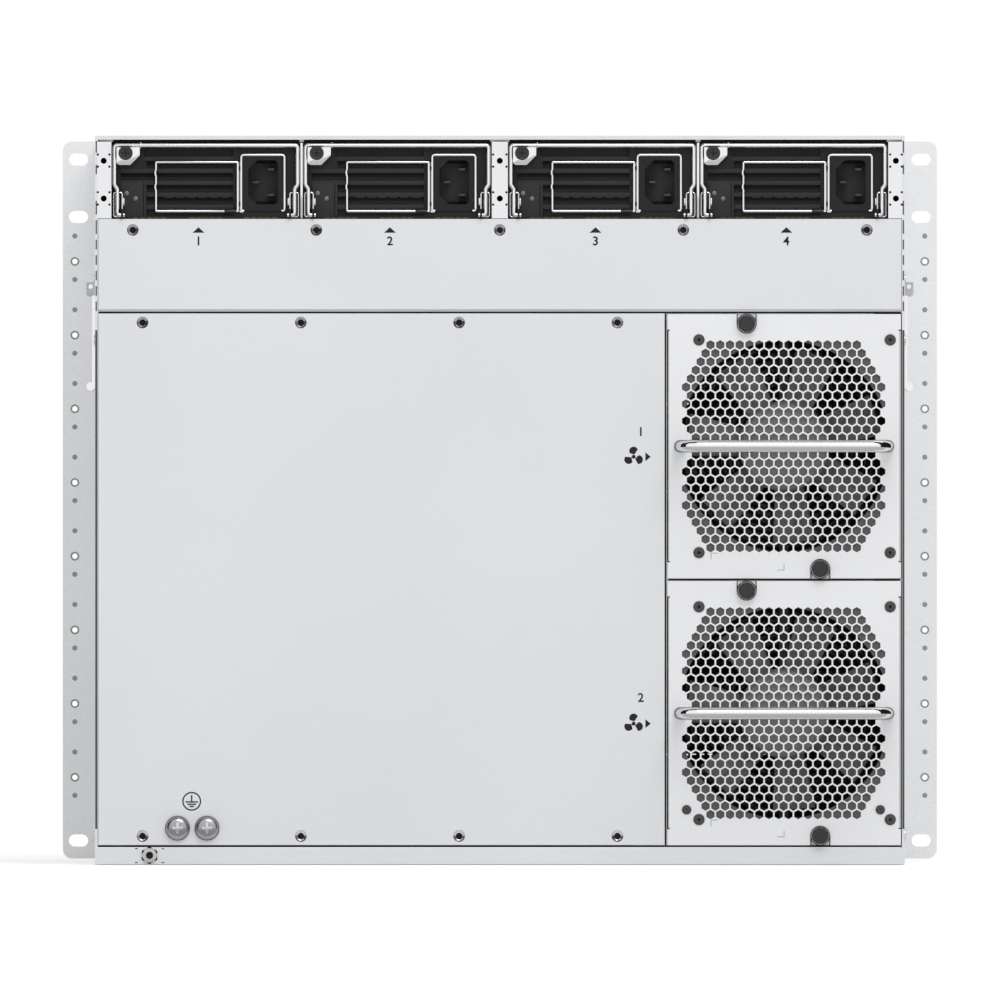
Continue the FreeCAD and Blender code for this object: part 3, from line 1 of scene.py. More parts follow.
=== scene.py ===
# %% [markdown]
# # A modular rack switch, dressed for a plain studio photograph
# The solids of the chassis come ready made and stay where they are. This lesson gives them their
# finishes, and rebuilds the pieces that need finer work: the honeycomb fan grilles, the bent wires,
# the pressed screw holes, the screws, the printed marks and the ports.

# %% Load the frame
import json
import math

import bmesh
import bpy
from mathutils import Matrix, Vector


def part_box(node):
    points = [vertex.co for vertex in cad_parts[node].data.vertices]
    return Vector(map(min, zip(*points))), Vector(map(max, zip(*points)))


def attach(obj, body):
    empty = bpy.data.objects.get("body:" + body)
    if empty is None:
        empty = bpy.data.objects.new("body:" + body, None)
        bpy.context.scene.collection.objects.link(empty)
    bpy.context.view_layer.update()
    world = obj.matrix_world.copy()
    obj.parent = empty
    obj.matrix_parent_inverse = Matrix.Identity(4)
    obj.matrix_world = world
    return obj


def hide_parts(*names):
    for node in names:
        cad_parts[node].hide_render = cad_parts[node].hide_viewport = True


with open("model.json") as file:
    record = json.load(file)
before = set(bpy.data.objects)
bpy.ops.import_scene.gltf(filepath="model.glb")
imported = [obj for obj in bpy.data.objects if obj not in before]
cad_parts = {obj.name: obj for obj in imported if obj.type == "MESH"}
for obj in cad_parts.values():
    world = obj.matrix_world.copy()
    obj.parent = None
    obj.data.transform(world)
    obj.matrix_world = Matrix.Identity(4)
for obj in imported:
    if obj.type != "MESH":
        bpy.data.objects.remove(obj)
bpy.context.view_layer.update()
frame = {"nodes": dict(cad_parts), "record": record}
scene = bpy.context.scene

# %% [markdown]
# ## The camera
# The photograph looks straight at the power and fan side, and its far edges are as large as the near
# ones. An orthographic camera would do that, but a very long lens far away gives the
# same picture and also works when the view is turned. All sizes below are in millimetres, made metres
# by one factor, because a sheet metal drawing reads that way.

# %% Camera far away with a long lens
MM = 0.001
REAR = -210.0
FRONT = 210.0
PHOTO_WIDTH = 543.3
PHOTO_MIDDLE = (0.1, 197.9)
CAMERA_DISTANCE = 25.5

lens = bpy.data.cameras.new("long_lens")
lens.sensor_width = 36.0
lens.lens = lens.sensor_width * CAMERA_DISTANCE / (PHOTO_WIDTH * MM)
lens.clip_start = 1.0
lens.clip_end = 60.0
camera = bpy.data.objects.new("far_camera", lens)
camera.location = (PHOTO_MIDDLE[0] * MM, REAR * MM - CAMERA_DISTANCE, PHOTO_MIDDLE[1] * MM)
camera.rotation_euler = (math.radians(90), 0, 0)
scene.collection.objects.link(camera)
scene.camera = camera
print("lens", round(lens.lens), "mm")

# %% [markdown]
# ## Shared effects
# Powder coat, drawn metal and moulded plastic each show a fine grain that several finishes share.
# An image texture could carry it, but a node group on object coordinates has no seams and any
# resolution. Each group gives a colour, a roughness and a height, and the shader stays in the material.

# %% A helper that builds a node group with named sockets
NUMBER, COLOUR, VECTOR = "NodeSocketFloat", "NodeSocketColor", "NodeSocketVector"


def new_group(name, *own_inputs):
    group = bpy.data.node_groups.new(name, "ShaderNodeTree")
    for label, kind in (("Colour", COLOUR), *own_inputs, ("Smoothest", NUMBER), ("Roughest", NUMBER)):
        group.interface.new_socket(label, in_out="INPUT", socket_type=kind)
    for label, kind in (("Colour", COLOUR), ("Roughness", NUMBER), ("Height", NUMBER)):
        group.interface.new_socket(label, in_out="OUTPUT", socket_type=kind)
    return group, group.nodes.new("NodeGroupInput").outputs, group.nodes.new("NodeGroupOutput").inputs


def feed(tree, socket, value):
    """Give a socket a plain number, or link another socket to it."""
    if isinstance(value, (int, float)):
        socket.default_value = value
    else:
        tree.links.new(value, socket)


def add_noise(group, vector, scale, detail):
    noise = group.nodes.new("ShaderNodeTexNoise")
    for label, value in (("Vector", vector), ("Scale", scale), ("Detail", detail)):
        feed(group, noise.inputs[label], value)
    return noise.outputs["Fac"]


def remap(group, value, low, high):
    """Turn a noise value, most of which lies between 0.3 and 0.7, into a range of its own."""
    node = group.nodes.new("ShaderNodeMapRange")
    ends = {"Value": value, "From Min": 0.3, "From Max": 0.7, "To Min": low, "To Max": high}
    for label, end in ends.items():
        feed(group, node.inputs[label], end)
    return node.outputs["Result"]


def scaled(group, vector, factor, operation="SCALE", socket="Scale"):
    """A vector or colour times a factor."""
    node = group.nodes.new("ShaderNodeVectorMath")
    node.operation = operation
    group.links.new(vector, node.inputs[0])
    group.links.new(factor, node.inputs[socket])
    return node.outputs["Vector"]


def add_math(tree, operation, first, second):
    node = tree.nodes.new("ShaderNodeMath")
    node.operation = operation
    feed(tree, node.inputs[0], first)
    feed(tree, node.inputs[1], second)
    return node.outputs["Value"]


def lead_out(group, enter, leave, colour, cloud, height):
    rough = remap(group, cloud, enter["Smoothest"], enter["Roughest"])
    for label, value in (("Colour", colour), ("Roughness", rough), ("Height", height)):
        group.links.new(value, leave[label])
    return group


# %% Grain: the fine texture of powder coat and moulded plastic
def build_grain():
    group, enter, leave = new_group("fine_grain", ("Grains per metre", NUMBER), ("Speckle", NUMBER))
    place = group.nodes.new("ShaderNodeTexCoord").outputs["Object"]
    grain = add_noise(group, place, enter["Grains per metre"], 2.0)
    cloud = add_noise(group, place, 9.0, 3.0)
    darkest = add_math(group, "SUBTRACT", 1.0, enter["Speckle"])
    speckle = remap(group, grain, darkest, 1.0)
    drift = remap(group, cloud, 0.985, 1.015)
    colour = scaled(group, scaled(group, enter["Colour"], speckle), drift)
    return lead_out(group, enter, leave, colour, cloud, grain)


# %% Drawn metal: long fine lines left by rolling, drawing or turning
def build_drawn():
    group, enter, leave = new_group("drawn_metal", ("Stretch", VECTOR), ("Contrast", NUMBER))
    place = group.nodes.new("ShaderNodeTexCoord").outputs["Object"]
    stretched = scaled(group, place, enter["Stretch"], "MULTIPLY", 1)
    lines = add_noise(group, stretched, 1.0, 2.0)
    smudge = add_noise(group, place, 35.0, 3.0)
    darkest = add_math(group, "SUBTRACT", 1.0, enter["Contrast"])
    colour = scaled(group, enter["Colour"], remap(group, lines, darkest, 1.0))
    return lead_out(group, enter, leave, colour, smudge, lines)


GRAIN = build_grain()
DRAWN = build_drawn()
print("node groups:", GRAIN.name, DRAWN.name)

# %% [markdown]
# ## Finishes
# The housing is pale grey powder coat, a little rougher on the rack ears. Wires and bars are polished
# steel, the inner sheet is zinc plated, and the supplies have a charcoal moulded face. The numbers that
# are the same all over sit on the shader itself, and the group feeds only what changes.

# %% Helpers that give a material its group and values
FINISH = {}


def set_inputs(node, values):
    for label, value in values.items():
        node.inputs[label].default_value = value


def new_finish(name, group, colour, pattern, contrast, smoothest, roughest, bump=0.00002, coat=0.0,
               specular=0.5, edge=1.0):
    """The pattern is grains per metre for grain, and the lines' stretch for drawn metal."""
    material = bpy.data.materials.new(name)
    material.use_nodes = True
    tree = material.node_tree
    shader = tree.nodes["Principled BSDF"]
    effect = tree.nodes.new("ShaderNodeGroup")
    effect.node_tree = group
    for socket, value in zip(effect.inputs, ((*colour, 1), pattern, contrast, smoothest, roughest)):
        socket.default_value = value
    relief = tree.nodes.new("ShaderNodeBump")
    set_inputs(relief, {"Strength": 0.6, "Distance": bump})
    tree.links.new(effect.outputs["Colour"], shader.inputs["Base Color"])
    tree.links.new(effect.outputs["Roughness"], shader.inputs["Roughness"])
    tree.links.new(effect.outputs["Height"], relief.inputs["Height"])
    tree.links.new(relief.outputs["Normal"], shader.inputs["Normal"])
    # An edge value below 1 darkens a metal's reflection towards its outline: painted shade.
    set_inputs(shader, {"Metallic": float(group == DRAWN), "Coat Weight": coat,
                        "Specular IOR Level": specular, "Specular Tint": (edge, edge, edge, 1)})
    FINISH[name] = material


# %% Paints and plastics
new_finish("housing_paint", GRAIN, (0.745, 0.755, 0.775), 1700, 0.05, 0.42, 0.56)
# ear_paint: the ears' coat is rougher. It is also lighter than the housing paint, so that the ears look as
# lit as the panels: painted light.
new_finish("ear_paint", GRAIN, (0.9, 0.91, 0.92), 1300, 0.1, 0.45, 0.62, bump=0.00004)
# pale_paint: a lighter copy of the housing paint for the tray fronts and the power bay, lighter for the light
# that falls on them: painted light.
new_finish("pale_paint", GRAIN, (0.83, 0.835, 0.85), 1700, 0.05, 0.42, 0.56)
new_finish("dark_cap", GRAIN, (0.042, 0.042, 0.044), 2600, 0.2, 0.45, 0.6, specular=0.25)
new_finish("dark_plastic", GRAIN, (0.019, 0.019, 0.0195), 2200, 0.18, 0.5, 0.65, specular=0.18)
new_finish("rib_plastic", GRAIN, (0.030, 0.030, 0.031), 2200, 0.18, 0.5, 0.65, specular=0.2)
new_finish("fan_plastic", GRAIN, (0.2, 0.201, 0.205), 1800, 0.15, 0.4, 0.55)
new_finish("fan_frame_plastic", GRAIN, (0.1, 0.101, 0.104), 1800, 0.15, 0.4, 0.55)
new_finish("lever_plastic", GRAIN, (0.075, 0.082, 0.09), 2000, 0.15, 0.35, 0.5)
new_finish("board_green", GRAIN, (0.012, 0.075, 0.032), 900, 0.2, 0.25, 0.4, coat=0.3)
new_finish("board_grey", GRAIN, (0.5, 0.5, 0.5), 900, 0.0, 0.9, 0.95)
# well_black is near black. Most pieces in it paint in the shade of gaps, holes, slots and recesses; the
# reflection boards and the port wells use it as their own black.
new_finish("well_black", GRAIN, (0.006, 0.006, 0.006), 1500, 0.2, 0.6, 0.8, specular=0.2)
new_finish("printed_ink", GRAIN, (0.022, 0.022, 0.025), 1500, 0.1, 0.6, 0.7, specular=0.15)
new_finish("faint_mark", GRAIN, (0.3, 0.305, 0.31), 1500, 0.05, 0.5, 0.6)
new_finish("disc_grey", GRAIN, (0.07, 0.07, 0.073), 1800, 0.15, 0.45, 0.6, specular=0.25)
new_finish("rim_grey", GRAIN, (0.28, 0.283, 0.288), 1800, 0.1, 0.4, 0.55)
new_finish("inlet_grey", GRAIN, (0.09, 0.09, 0.093), 1800, 0.1, 0.5, 0.65, specular=0.3)
new_finish("lamp_lens", GRAIN, (0.13, 0.13, 0.12), 900, 0.05, 0.15, 0.25, coat=0.6)
new_finish("gasket_brass", GRAIN, (0.16, 0.145, 0.012), 1200, 0.3, 0.4, 0.55)
print("paints and plastics:", len(FINISH))

# %% Metals
new_finish("zinc_sheet", DRAWN, (0.6, 0.61, 0.62), (30, 30, 700), 0.12, 0.28, 0.42, bump=0.00001)
# bright_steel's low edge value gives the bars and wires darker outlines: painted shade.
new_finish("bright_steel", DRAWN, (0.88, 0.88, 0.89), (25, 800, 800), 0.02, 0.06, 0.1,
           bump=0.0000004, edge=0.15)
new_finish("screw_steel", DRAWN, (0.72, 0.72, 0.73), (900, 60, 900), 0.1, 0.16, 0.3, bump=0.000006)
new_finish("ground_steel", DRAWN, (0.42, 0.42, 0.43), (700, 60, 700), 0.08, 0.2, 0.3, bump=0.000006)
new_finish("blade_tin", DRAWN, (0.07, 0.07, 0.072), (500, 30, 500), 0.1, 0.3, 0.45)
print("finishes in all:", len(FINISH))

# %% Put them on the solids
# The power bay takes the lighter copy of the housing paint: painted light.
OTHER_FINISH = {"fan_1_frame": "fan_frame_plastic", "fan_2_frame": "fan_frame_plastic",
                "power_bay": "pale_paint"}
for part in frame["record"]["subparts"]:
    solid = frame["nodes"][part["node"]]
    finish = FINISH[OTHER_FINISH.get(part["node"], part["material_slot"])]
    if not solid.material_slots:
        solid.data.materials.append(finish)
    for spot in solid.material_slots:
        spot.material = finish

# %% [markdown]
# ## Workshop helpers
# Sheet, turned, tubular and block pieces each come from one bmesh recipe. Building them by hand in a
# viewport would do for one object, but this chassis repeats its pieces, so a few small tools pay off.
# A finished piece keeps its object at the origin and holds its place in its mesh.

# %% Finish a piece: normals, smoothing, finish, and the body that it rides on
pieces_made = []


def new_object(name, bm, finish):
    mesh = bpy.data.meshes.new(name)
    bm.to_mesh(mesh)
    bm.free()
    mesh.materials.append(FINISH[finish])
    made = bpy.data.objects.new(name, mesh)
    scene.collection.objects.link(made)
    return made


def finish_piece(name, bm, finish, body="chassis", standing_for=(), sharp=35):
    bmesh.ops.recalc_face_normals(bm, faces=bm.faces)
    piece = new_object(name, bm, finish)
    piece.data.shade_smooth()
    piece.data.set_sharp_from_angle(angle=math.radians(sharp))
    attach(piece, body)
    if standing_for:
        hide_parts(*standing_for)
    pieces_made.append(name)


# %% A block with softened edges
def edges_at(made):
    """The edges at the vertices that an operator made."""
    return list({edge for corner in made["verts"] for edge in corner.link_edges})


def soften(bm, edges, width, segments=2):
    bmesh.ops.bevel(bm, geom=edges, offset=width * MM, offset_type="OFFSET", segments=segments, profile=0.5,
                    affect="EDGES", material=-1, clamp_overlap=True)


def meshes(count):
    return [bmesh.new() for _ in range(count)]


def span(middle, half):
    return middle - half, middle + half


def rear(near, far):
    """A span of depths, counted from the rear face."""
    return REAR + near, REAR + far


def add_block(bm, x, y, z, bevel=0.0, segments=2):
    spans = [sorted((low * MM, high * MM)) for low, high in (x, y, z)]
    centre = Vector([(low + high) / 2 for low, high in spans])
    size = [high - low for low, high in spans]
    place = Matrix.Translation(centre) @ Matrix.Diagonal((*size, 1))
    made = bmesh.ops.create_cube(bm, size=1.0, matrix=place)
    if bevel:
        soften(bm, edges_at(made), bevel, segments)


# %% Turned pieces: a profile of radius and depth, spun about a line along Y
def add_turned(bm, profile, x, z, steps=40, closed=False, base=REAR):
    corners = [bm.verts.new(((x + radius) * MM, (base + depth) * MM, z * MM)) for radius, depth in profile]
    runs = list(zip(corners, corners[1:]))
    if closed:
        runs.append((corners[-1], corners[0]))
    edges = [bm.edges.new(run) for run in runs]
    bmesh.ops.spin(bm, geom=corners + edges, cent=(x * MM, 0, z * MM), axis=(0, 1, 0), angle=math.tau,
                   steps=steps, use_merge=True, use_duplicate=False)
    bmesh.ops.remove_doubles(bm, verts=bm.verts, dist=0.000002)


def add_disc(bm, x, z, radius, near, far, steps, base=REAR):
    add_turned(bm, [(0, near), (radius, near), (radius, far), (0, far)], x, z, steps, base=base)


def add_ring(bm, x, z, inner, outer, near, far, steps, base=REAR):
    add_turned(bm, [(inner, near), (outer, near), (outer, far), (inner, far)], x, z, steps, True, base)


def add_turned_along_x(bm, x, y, z, radius, width):
    """A short disc or collar whose axis runs along X."""
    place = Matrix.Translation((x * MM, y * MM, z * MM)) @ Matrix.Rotation(math.radians(90), 4, "Y")
    made = bmesh.ops.create_cone(bm, cap_ends=True, cap_tris=False, segments=20, radius1=radius * MM,
                                 radius2=radius * MM, depth=width * MM, matrix=place)
    rim = [edge for edge in edges_at(made) if len(edge.link_faces) == 2 and edge.calc_face_angle(0) > 1]
    soften(bm, rim, 0.2)


# %% [markdown]
# ## Bending wire
# A bent wire is made as on the real bending machine: a round section is pushed straight on, then
# swung about a bend centre, then pushed on again. A curve with a bevel would be quicker, but the
# machine's way keeps every straight truly straight and every bend truly round.

# %% The wire bender: extrude along the straights, spin round the bends
def add_wire(bm, points, diameter, bend, closed=False, sides=16, steps=6):
    spots = [Vector(point) * MM for point in points]
    if closed:
        start = (spots[0] + spots[-1]) / 2
        spots = [start] + spots + [start]
    heading = (spots[1] - spots[0]).normalized()
    turn = Vector((0, 0, 1)).rotation_difference(heading).to_matrix().to_4x4()
    ring = bmesh.ops.create_circle(bm, cap_ends=not closed, radius=diameter / 2 * MM, segments=sides,
                                   matrix=Matrix.Translation(spots[0]) @ turn)
    rim = edges_at(ring)
    here = spots[0]
    for index in range(1, len(spots)):
        target = spots[index]
        last = index == len(spots) - 1
        ahead = None if last else (spots[index + 1] - target).normalized()
        trim = 0.0
        if not last:
            corner_angle = heading.angle(ahead)
            trim = bend * MM * math.tan(corner_angle / 2)
        stop = target - heading * trim
        rim = push_section(bm, rim, stop - here)
        here = stop
        if not last and corner_angle > 0.001:
            axis = heading.cross(ahead).normalized()
            centre = here + axis.cross(heading) * bend * MM
            swung = bmesh.ops.spin(bm, geom=rim, cent=centre, axis=axis, angle=corner_angle, steps=steps,
                                   use_duplicate=False)
            rim = [part for part in swung["geom_last"] if isinstance(part, bmesh.types.BMEdge)]
            here = target + ahead * trim
            heading = ahead
    if closed:
        bmesh.ops.remove_doubles(bm, verts=bm.verts, dist=0.00002)
    else:
        bmesh.ops.edgeloop_fill(bm, edges=rim)


def move_new(bm, grown, step):
    """Move the vertices among new parts, and return them."""
    corners = [part for part in grown if isinstance(part, bmesh.types.BMVert)]
    bmesh.ops.translate(bm, verts=corners, vec=step)
    return corners


def push_section(bm, rim, step):
    """Push a ring of edges straight on, and return the new ring."""
    grown = bmesh.ops.extrude_edge_only(bm, edges=rim)["geom"]
    corners = set(move_new(bm, grown, step))
    return [part for part in grown
            if isinstance(part, bmesh.types.BMEdge) and all(corner in corners for corner in part.verts)]


# %% [markdown]
# ## Sheet with holes
# A panel starts as its outline and its hole edges, standing in one plane. One fill spans the area
# between them, and one extrusion gives the thickness. Cutting each hole with a boolean would be slower
# and leave slivers.

# %% Outline, holes, fill and extrude
UPRIGHT = Matrix.Rotation(math.radians(90), 4, "X")


def add_loop(bm, points, y):
    corners = [bm.verts.new((x * MM, y * MM, z * MM)) for x, z in points]
    return [bm.edges.new((corner, corners[(i + 1) % len(corners)])) for i, corner in enumerate(corners)]


def add_hole(bm, x, z, y, diameter, segments=28):
    place = Matrix.Translation((x * MM, y * MM, z * MM)) @ UPRIGHT
    return edges_at(bmesh.ops.create_circle(bm, cap_ends=False, radius=diameter / 2 * MM, segments=segments,
                                            matrix=place))


def fill_sheet(bm, edges, faces, y, thickness, edge_bevel, outline_edges):
    """Span the plane between the loops, give it thickness, and soften its outer front edge."""
    spanned = bmesh.ops.triangle_fill(bm, edges=edges, use_beauty=True, use_dissolve=False,
                                      normal=(0, -1, 0))["geom"]
    faces = faces + [part for part in spanned if isinstance(part, bmesh.types.BMFace)]
    marks = {(round(c.co.x, 6), round(c.co.z, 6)) for edge in outline_edges for c in edge.verts}
    move_new(bm, bmesh.ops.extrude_face_region(bm, geom=faces)["geom"], (0, thickness * MM, 0))
    if edge_bevel:
        front = [edge for edge in bm.edges
                 if all(abs(c.co.y - y * MM) < 1e-7 and (round(c.co.x, 6), round(c.co.z, 6)) in marks
                        for c in edge.verts)
                 and len(edge.link_faces) == 2
                 and abs(edge.link_faces[0].normal.dot(edge.link_faces[1].normal)) < 0.5]
        soften(bm, front, edge_bevel)


def add_sheet(bm, outline, holes, y, thickness, edge_bevel=0.25):
    outline_edges = add_loop(bm, outline, y)
    edges = list(outline_edges)
    for x, z, diameter in holes:
        edges += add_hole(bm, x, z, y, diameter)
    fill_sheet(bm, edges, [], y, thickness, edge_bevel, outline_edges)


def rectangle(left, right, bottom, top):
    return [(left, bottom), (right, bottom), (right, top), (left, top)]


def arc(x, z, radius, start, stop, steps):
    """Points on an arc, by angles in degrees."""
    turns = [math.radians(start + (stop - start) * i / steps) for i in range(steps + 1)]
    return [(x + radius * math.cos(turn), z + radius * math.sin(turn)) for turn in turns]


# %% [markdown]
# ## Main rear panel and power cover
# Both are painted sheets held by flat screws in pressed, cone-shaped hollows. The hollows catch a
# bright line of light on one side, so they are modelled, not painted; the black deep in each bore is painted
# shade.

# %% The two panels with their pressed screw holes
PANEL = 1.2
PRESSED_RIM, PRESSED_BORE = 3.2, 1.75
GROUND_SCREWS = [(-175.1, 19.6), (-159.1, 19.6)]


def add_pressed_hole(bm, x, z):
    rim, bore = PRESSED_RIM, PRESSED_BORE
    profile = [(rim, 0), (rim - 0.18, 0.30), (bore + 0.35, 0.72), (bore, 1.0), (bore, PANEL), (rim, PANEL)]
    add_turned(bm, profile, x, z, steps=28, closed=True)


def build_panel(name, left, right, bottom, top, spots, more_holes=()):
    bm, rings, bore_shade = meshes(3)
    holes = [(x, z, 2 * PRESSED_RIM) for x, z in spots] + list(more_holes)
    add_sheet(bm, rectangle(left, right, bottom, top), holes, REAR, PANEL)
    for x, z in spots:
        add_pressed_hole(rings, x, z)
        # A black disc deep in each bore: painted shade inside the hole.
        add_disc(bore_shade, x, z, PRESSED_BORE - 0.01, 0.95, 1.15, 20)
    finish_piece(f"{name}_pressed", bm, "housing_paint", standing_for=[name], sharp=15)
    finish_piece(f"{name}_rings", rings, "screw_steel")
    finish_piece(f"{name}_bores", bore_shade, "well_black")


rear_spots = [(-194.1 + 86.0 * i, z) for z in (15.3, 294.3) for i in range(4)]
cover_spots = [(99.7 * i, 344.6) for i in range(-2, 3)]
build_panel("rear_panel", -218.2, 89.5, 10.4, 299.2, rear_spots, [(x, z, 6.2) for x, z in GROUND_SCREWS])
build_panel("power_cover", -218.2, 218.2, 301.4, 350.6, cover_spots)
print("pressed holes:", len(rear_spots) + len(cover_spots))

# %% [markdown]
# ## Fan trays
# Each tray's front is a sheet punched with a field of 482 small hexagons, point up, in 25 rows whose
# lengths swell and shrink. One hexagonal ring is made by an inset, and copies of it tile the field like
# real honeycomb. The tiles' outer edge and the tray's outline then span the rest of the sheet.

# %% The honeycomb field
HEX_PITCH = 5.30
HEX_ROW = HEX_PITCH * math.sqrt(3) / 2
HEX_WEB = 0.85
ROWS = [16, 17, 18, 19, 20, 21, 20, 21, 20, 21, 20, 19, 18, 19, 20, 21, 20, 21, 20, 21, 20, 19, 18, 17, 16]


def add_honeycomb(bm, x, z, y):
    """Tile the field with hexagonal rings, and return the edges round its outside."""
    outer = HEX_PITCH / math.sqrt(3) * MM
    place = Matrix.Translation((x * MM, y * MM, z * MM)) @ UPRIGHT
    cell = bmesh.ops.create_circle(bm, cap_ends=True, radius=outer, segments=6, matrix=place)
    face = cell["verts"][0].link_faces[0]
    bmesh.ops.inset_individual(bm, faces=[face], thickness=HEX_WEB / 2 * MM, depth=0.0, use_even_offset=True)
    bmesh.ops.delete(bm, geom=[face], context="FACES_ONLY")
    first_corners = bm.verts[:]
    first = first_corners + bm.edges[:] + bm.faces[:]
    for row, count in enumerate(ROWS):
        up = (len(ROWS) // 2 - row) * HEX_ROW * MM
        for column in range(count):
            across = (column - (count - 1) / 2) * HEX_PITCH * MM
            move_new(bm, bmesh.ops.duplicate(bm, geom=first)["geom"], (across, 0, up))
    bmesh.ops.delete(bm, geom=first_corners, context="VERTS")
    bmesh.ops.remove_doubles(bm, verts=bm.verts, dist=0.00005)
    long_edge = (outer + outer - HEX_WEB / math.sqrt(3) * MM) / 2
    return [edge for edge in bm.edges if len(edge.link_faces) == 1 and edge.calc_length() > long_edge]


# %% The tray front with its sleeve and screw brackets
TRAYS = {"fan_tray_1": 155.3, "fan_tray_2": 10.3}
TRAY_HEIGHT = 143.6
TRAY_LEFT, TRAY_RIGHT = 91.0, 218.0
TRAY_MIDDLE_X, GRILLE_X = 154.5, 154.2
NOTCH_RADIUS = 5.4
SIDE_RELIEF = (9.1, 134.9)
SLEEVE_INSIDE, SLEEVE_OUTSIDE, SLEEVE_DEPTH = 60.3, 61.5, 42.0


def screw_places(bottom):
    """Name, x and z of a tray's two captive screws, and the edge that each one's notch opens to."""
    top = bottom + TRAY_HEIGHT
    return ("upper", 134.1, top - 5.2, top), ("lower", 174.1, bottom + 5.2, bottom)


def tray_outline(bottom):
    """The tray's edge, with a U-shaped notch for each screw and a long relief on each side."""
    (_, high_x, high_z, top), (_, low_x, low_z, _) = screw_places(bottom)
    low = arc(low_x, low_z, NOTCH_RADIUS, 180, 0, 12)
    high = arc(high_x, high_z, NOTCH_RADIUS, 0, -180, 12)
    start, stop = SIDE_RELIEF
    side = [(0, 0), (0, start), (0.8, start), (0.8, stop), (0, stop), (0, TRAY_HEIGHT)]
    right = [(TRAY_RIGHT - depth, bottom + rise) for depth, rise in side]
    left = [(TRAY_LEFT + depth, bottom + rise) for depth, rise in reversed(side)]
    return (left + [(low[0][0], bottom)] + low + [(low[-1][0], bottom)]
            + right + [(high[0][0], top)] + high + [(high[-1][0], top)])


def build_tray(name, bottom):
    middle = bottom + TRAY_HEIGHT / 2
    bm = bmesh.new()
    field_edge = add_honeycomb(bm, GRILLE_X, middle, REAR)
    tiles = bm.faces[:]
    outline = add_loop(bm, tray_outline(bottom), REAR)
    fill_sheet(bm, field_edge + outline, tiles, REAR, PANEL, 0.25, outline)
    sleeve = rear(PANEL, PANEL + SLEEVE_DEPTH)
    for side in (-1, 1):
        near, far = side * SLEEVE_INSIDE, side * SLEEVE_OUTSIDE
        add_block(bm, (TRAY_MIDDLE_X + near, TRAY_MIDDLE_X + far), sleeve, span(middle, SLEEVE_OUTSIDE), 0.2)
        add_block(bm, span(TRAY_MIDDLE_X, SLEEVE_OUTSIDE), sleeve, (middle + near, middle + far), 0.2)
    for _, x, z, edge in screw_places(bottom):
        side = 1 if z > middle else -1
        low, high = sorted((middle + side * SLEEVE_OUTSIDE, edge - side * 0.4))
        add_sheet(bm, rectangle(x - 9, x + 9, low, high), [(x, z, 4.6)], REAR + PANEL, PANEL, 0)
    finish_piece(f"{name}_front", bm, "pale_paint", name, standing_for=[name], sharp=15)


for name, bottom in TRAYS.items():
    build_tray(name, bottom)
print("hexagons on each tray:", sum(ROWS))

# %% [markdown]
# ## Fans behind the honeycomb
# The rotor's solid is right in shape, but a fan stops anywhere, and the photograph shows where this one
# stopped. A merged copy, turned about the fan's axis, stands for it. Behind each fan sits a finger guard
# of rings on crossed bars, as the real fan has; it is near black so that it also paints in the shade of
# the housing's inside between the blades.

# %% Rotors as the photograph shows them, and finger guards
ROTOR_TURN = 20.0
GUARD_DEPTH = (-170.4, -169.0)
GUARD_BARS = (-169.6, -168.2)

for name, bottom in TRAYS.items():
    middle = bottom + TRAY_HEIGHT / 2
    rotor = name.replace("tray_", "") + "_rotor"
    bm = bmesh.new()
    bm.from_mesh(frame["nodes"][rotor].data)
    bmesh.ops.remove_doubles(bm, verts=bm.verts, dist=0.00001)
    bmesh.ops.rotate(bm, verts=bm.verts, cent=Vector((TRAY_MIDDLE_X, 0, middle)) * MM,
                     matrix=Matrix.Rotation(math.radians(ROTOR_TURN), 3, "Y"))
    finish_piece(f"{rotor}_turned", bm, "fan_plastic", rotor, standing_for=[rotor])
    # The guard's near black also paints in the shade of the housing's inside: painted shade.
    bm = bmesh.new()
    for radius in range(12, 58, 4):
        add_ring(bm, TRAY_MIDDLE_X, middle, *span(radius, 0.9), *GUARD_DEPTH, 48, base=0)
    for rise, reach in ((-24.3, 51.5), (0, 59), (24.3, 51.5)):
        add_block(bm, span(TRAY_MIDDLE_X, reach), GUARD_BARS, span(middle + rise, 1.5))
    add_block(bm, span(TRAY_MIDDLE_X, 1.5), GUARD_BARS, span(middle, 59))
    finish_piece(f"{name}_guard", bm, "well_black", name)
print("rotors turned by", ROTOR_TURN, "degrees")

# %% [markdown]
# ## Tray rivets, screws and bar handles
# Dark round rivets hold the fan behind each corner of the tray. The two captive screws have a knurled
# steel rim round a flat dark cap. The handle is one polished bar with a wide bend at each end.

# %% Rivets with a dimple, and painted shadow: a dark dot in each dimple, a dark line round each screw and down its notch's sides, and dark ticks at the reliefs' ends
SCREW_SEAT = REAR + PANEL - 0.1


def add_rivet(bm, x, z, diameter):
    reach = diameter / 2
    profile = [(0, -0.25), (0.7, -0.25), (0.95, -0.6), (reach - 0.4, -0.6), (reach - 0.08, -0.42),
               (reach, -0.1), (reach, 0.4), (0, 0.4)]
    add_turned(bm, profile, x, z, steps=28)


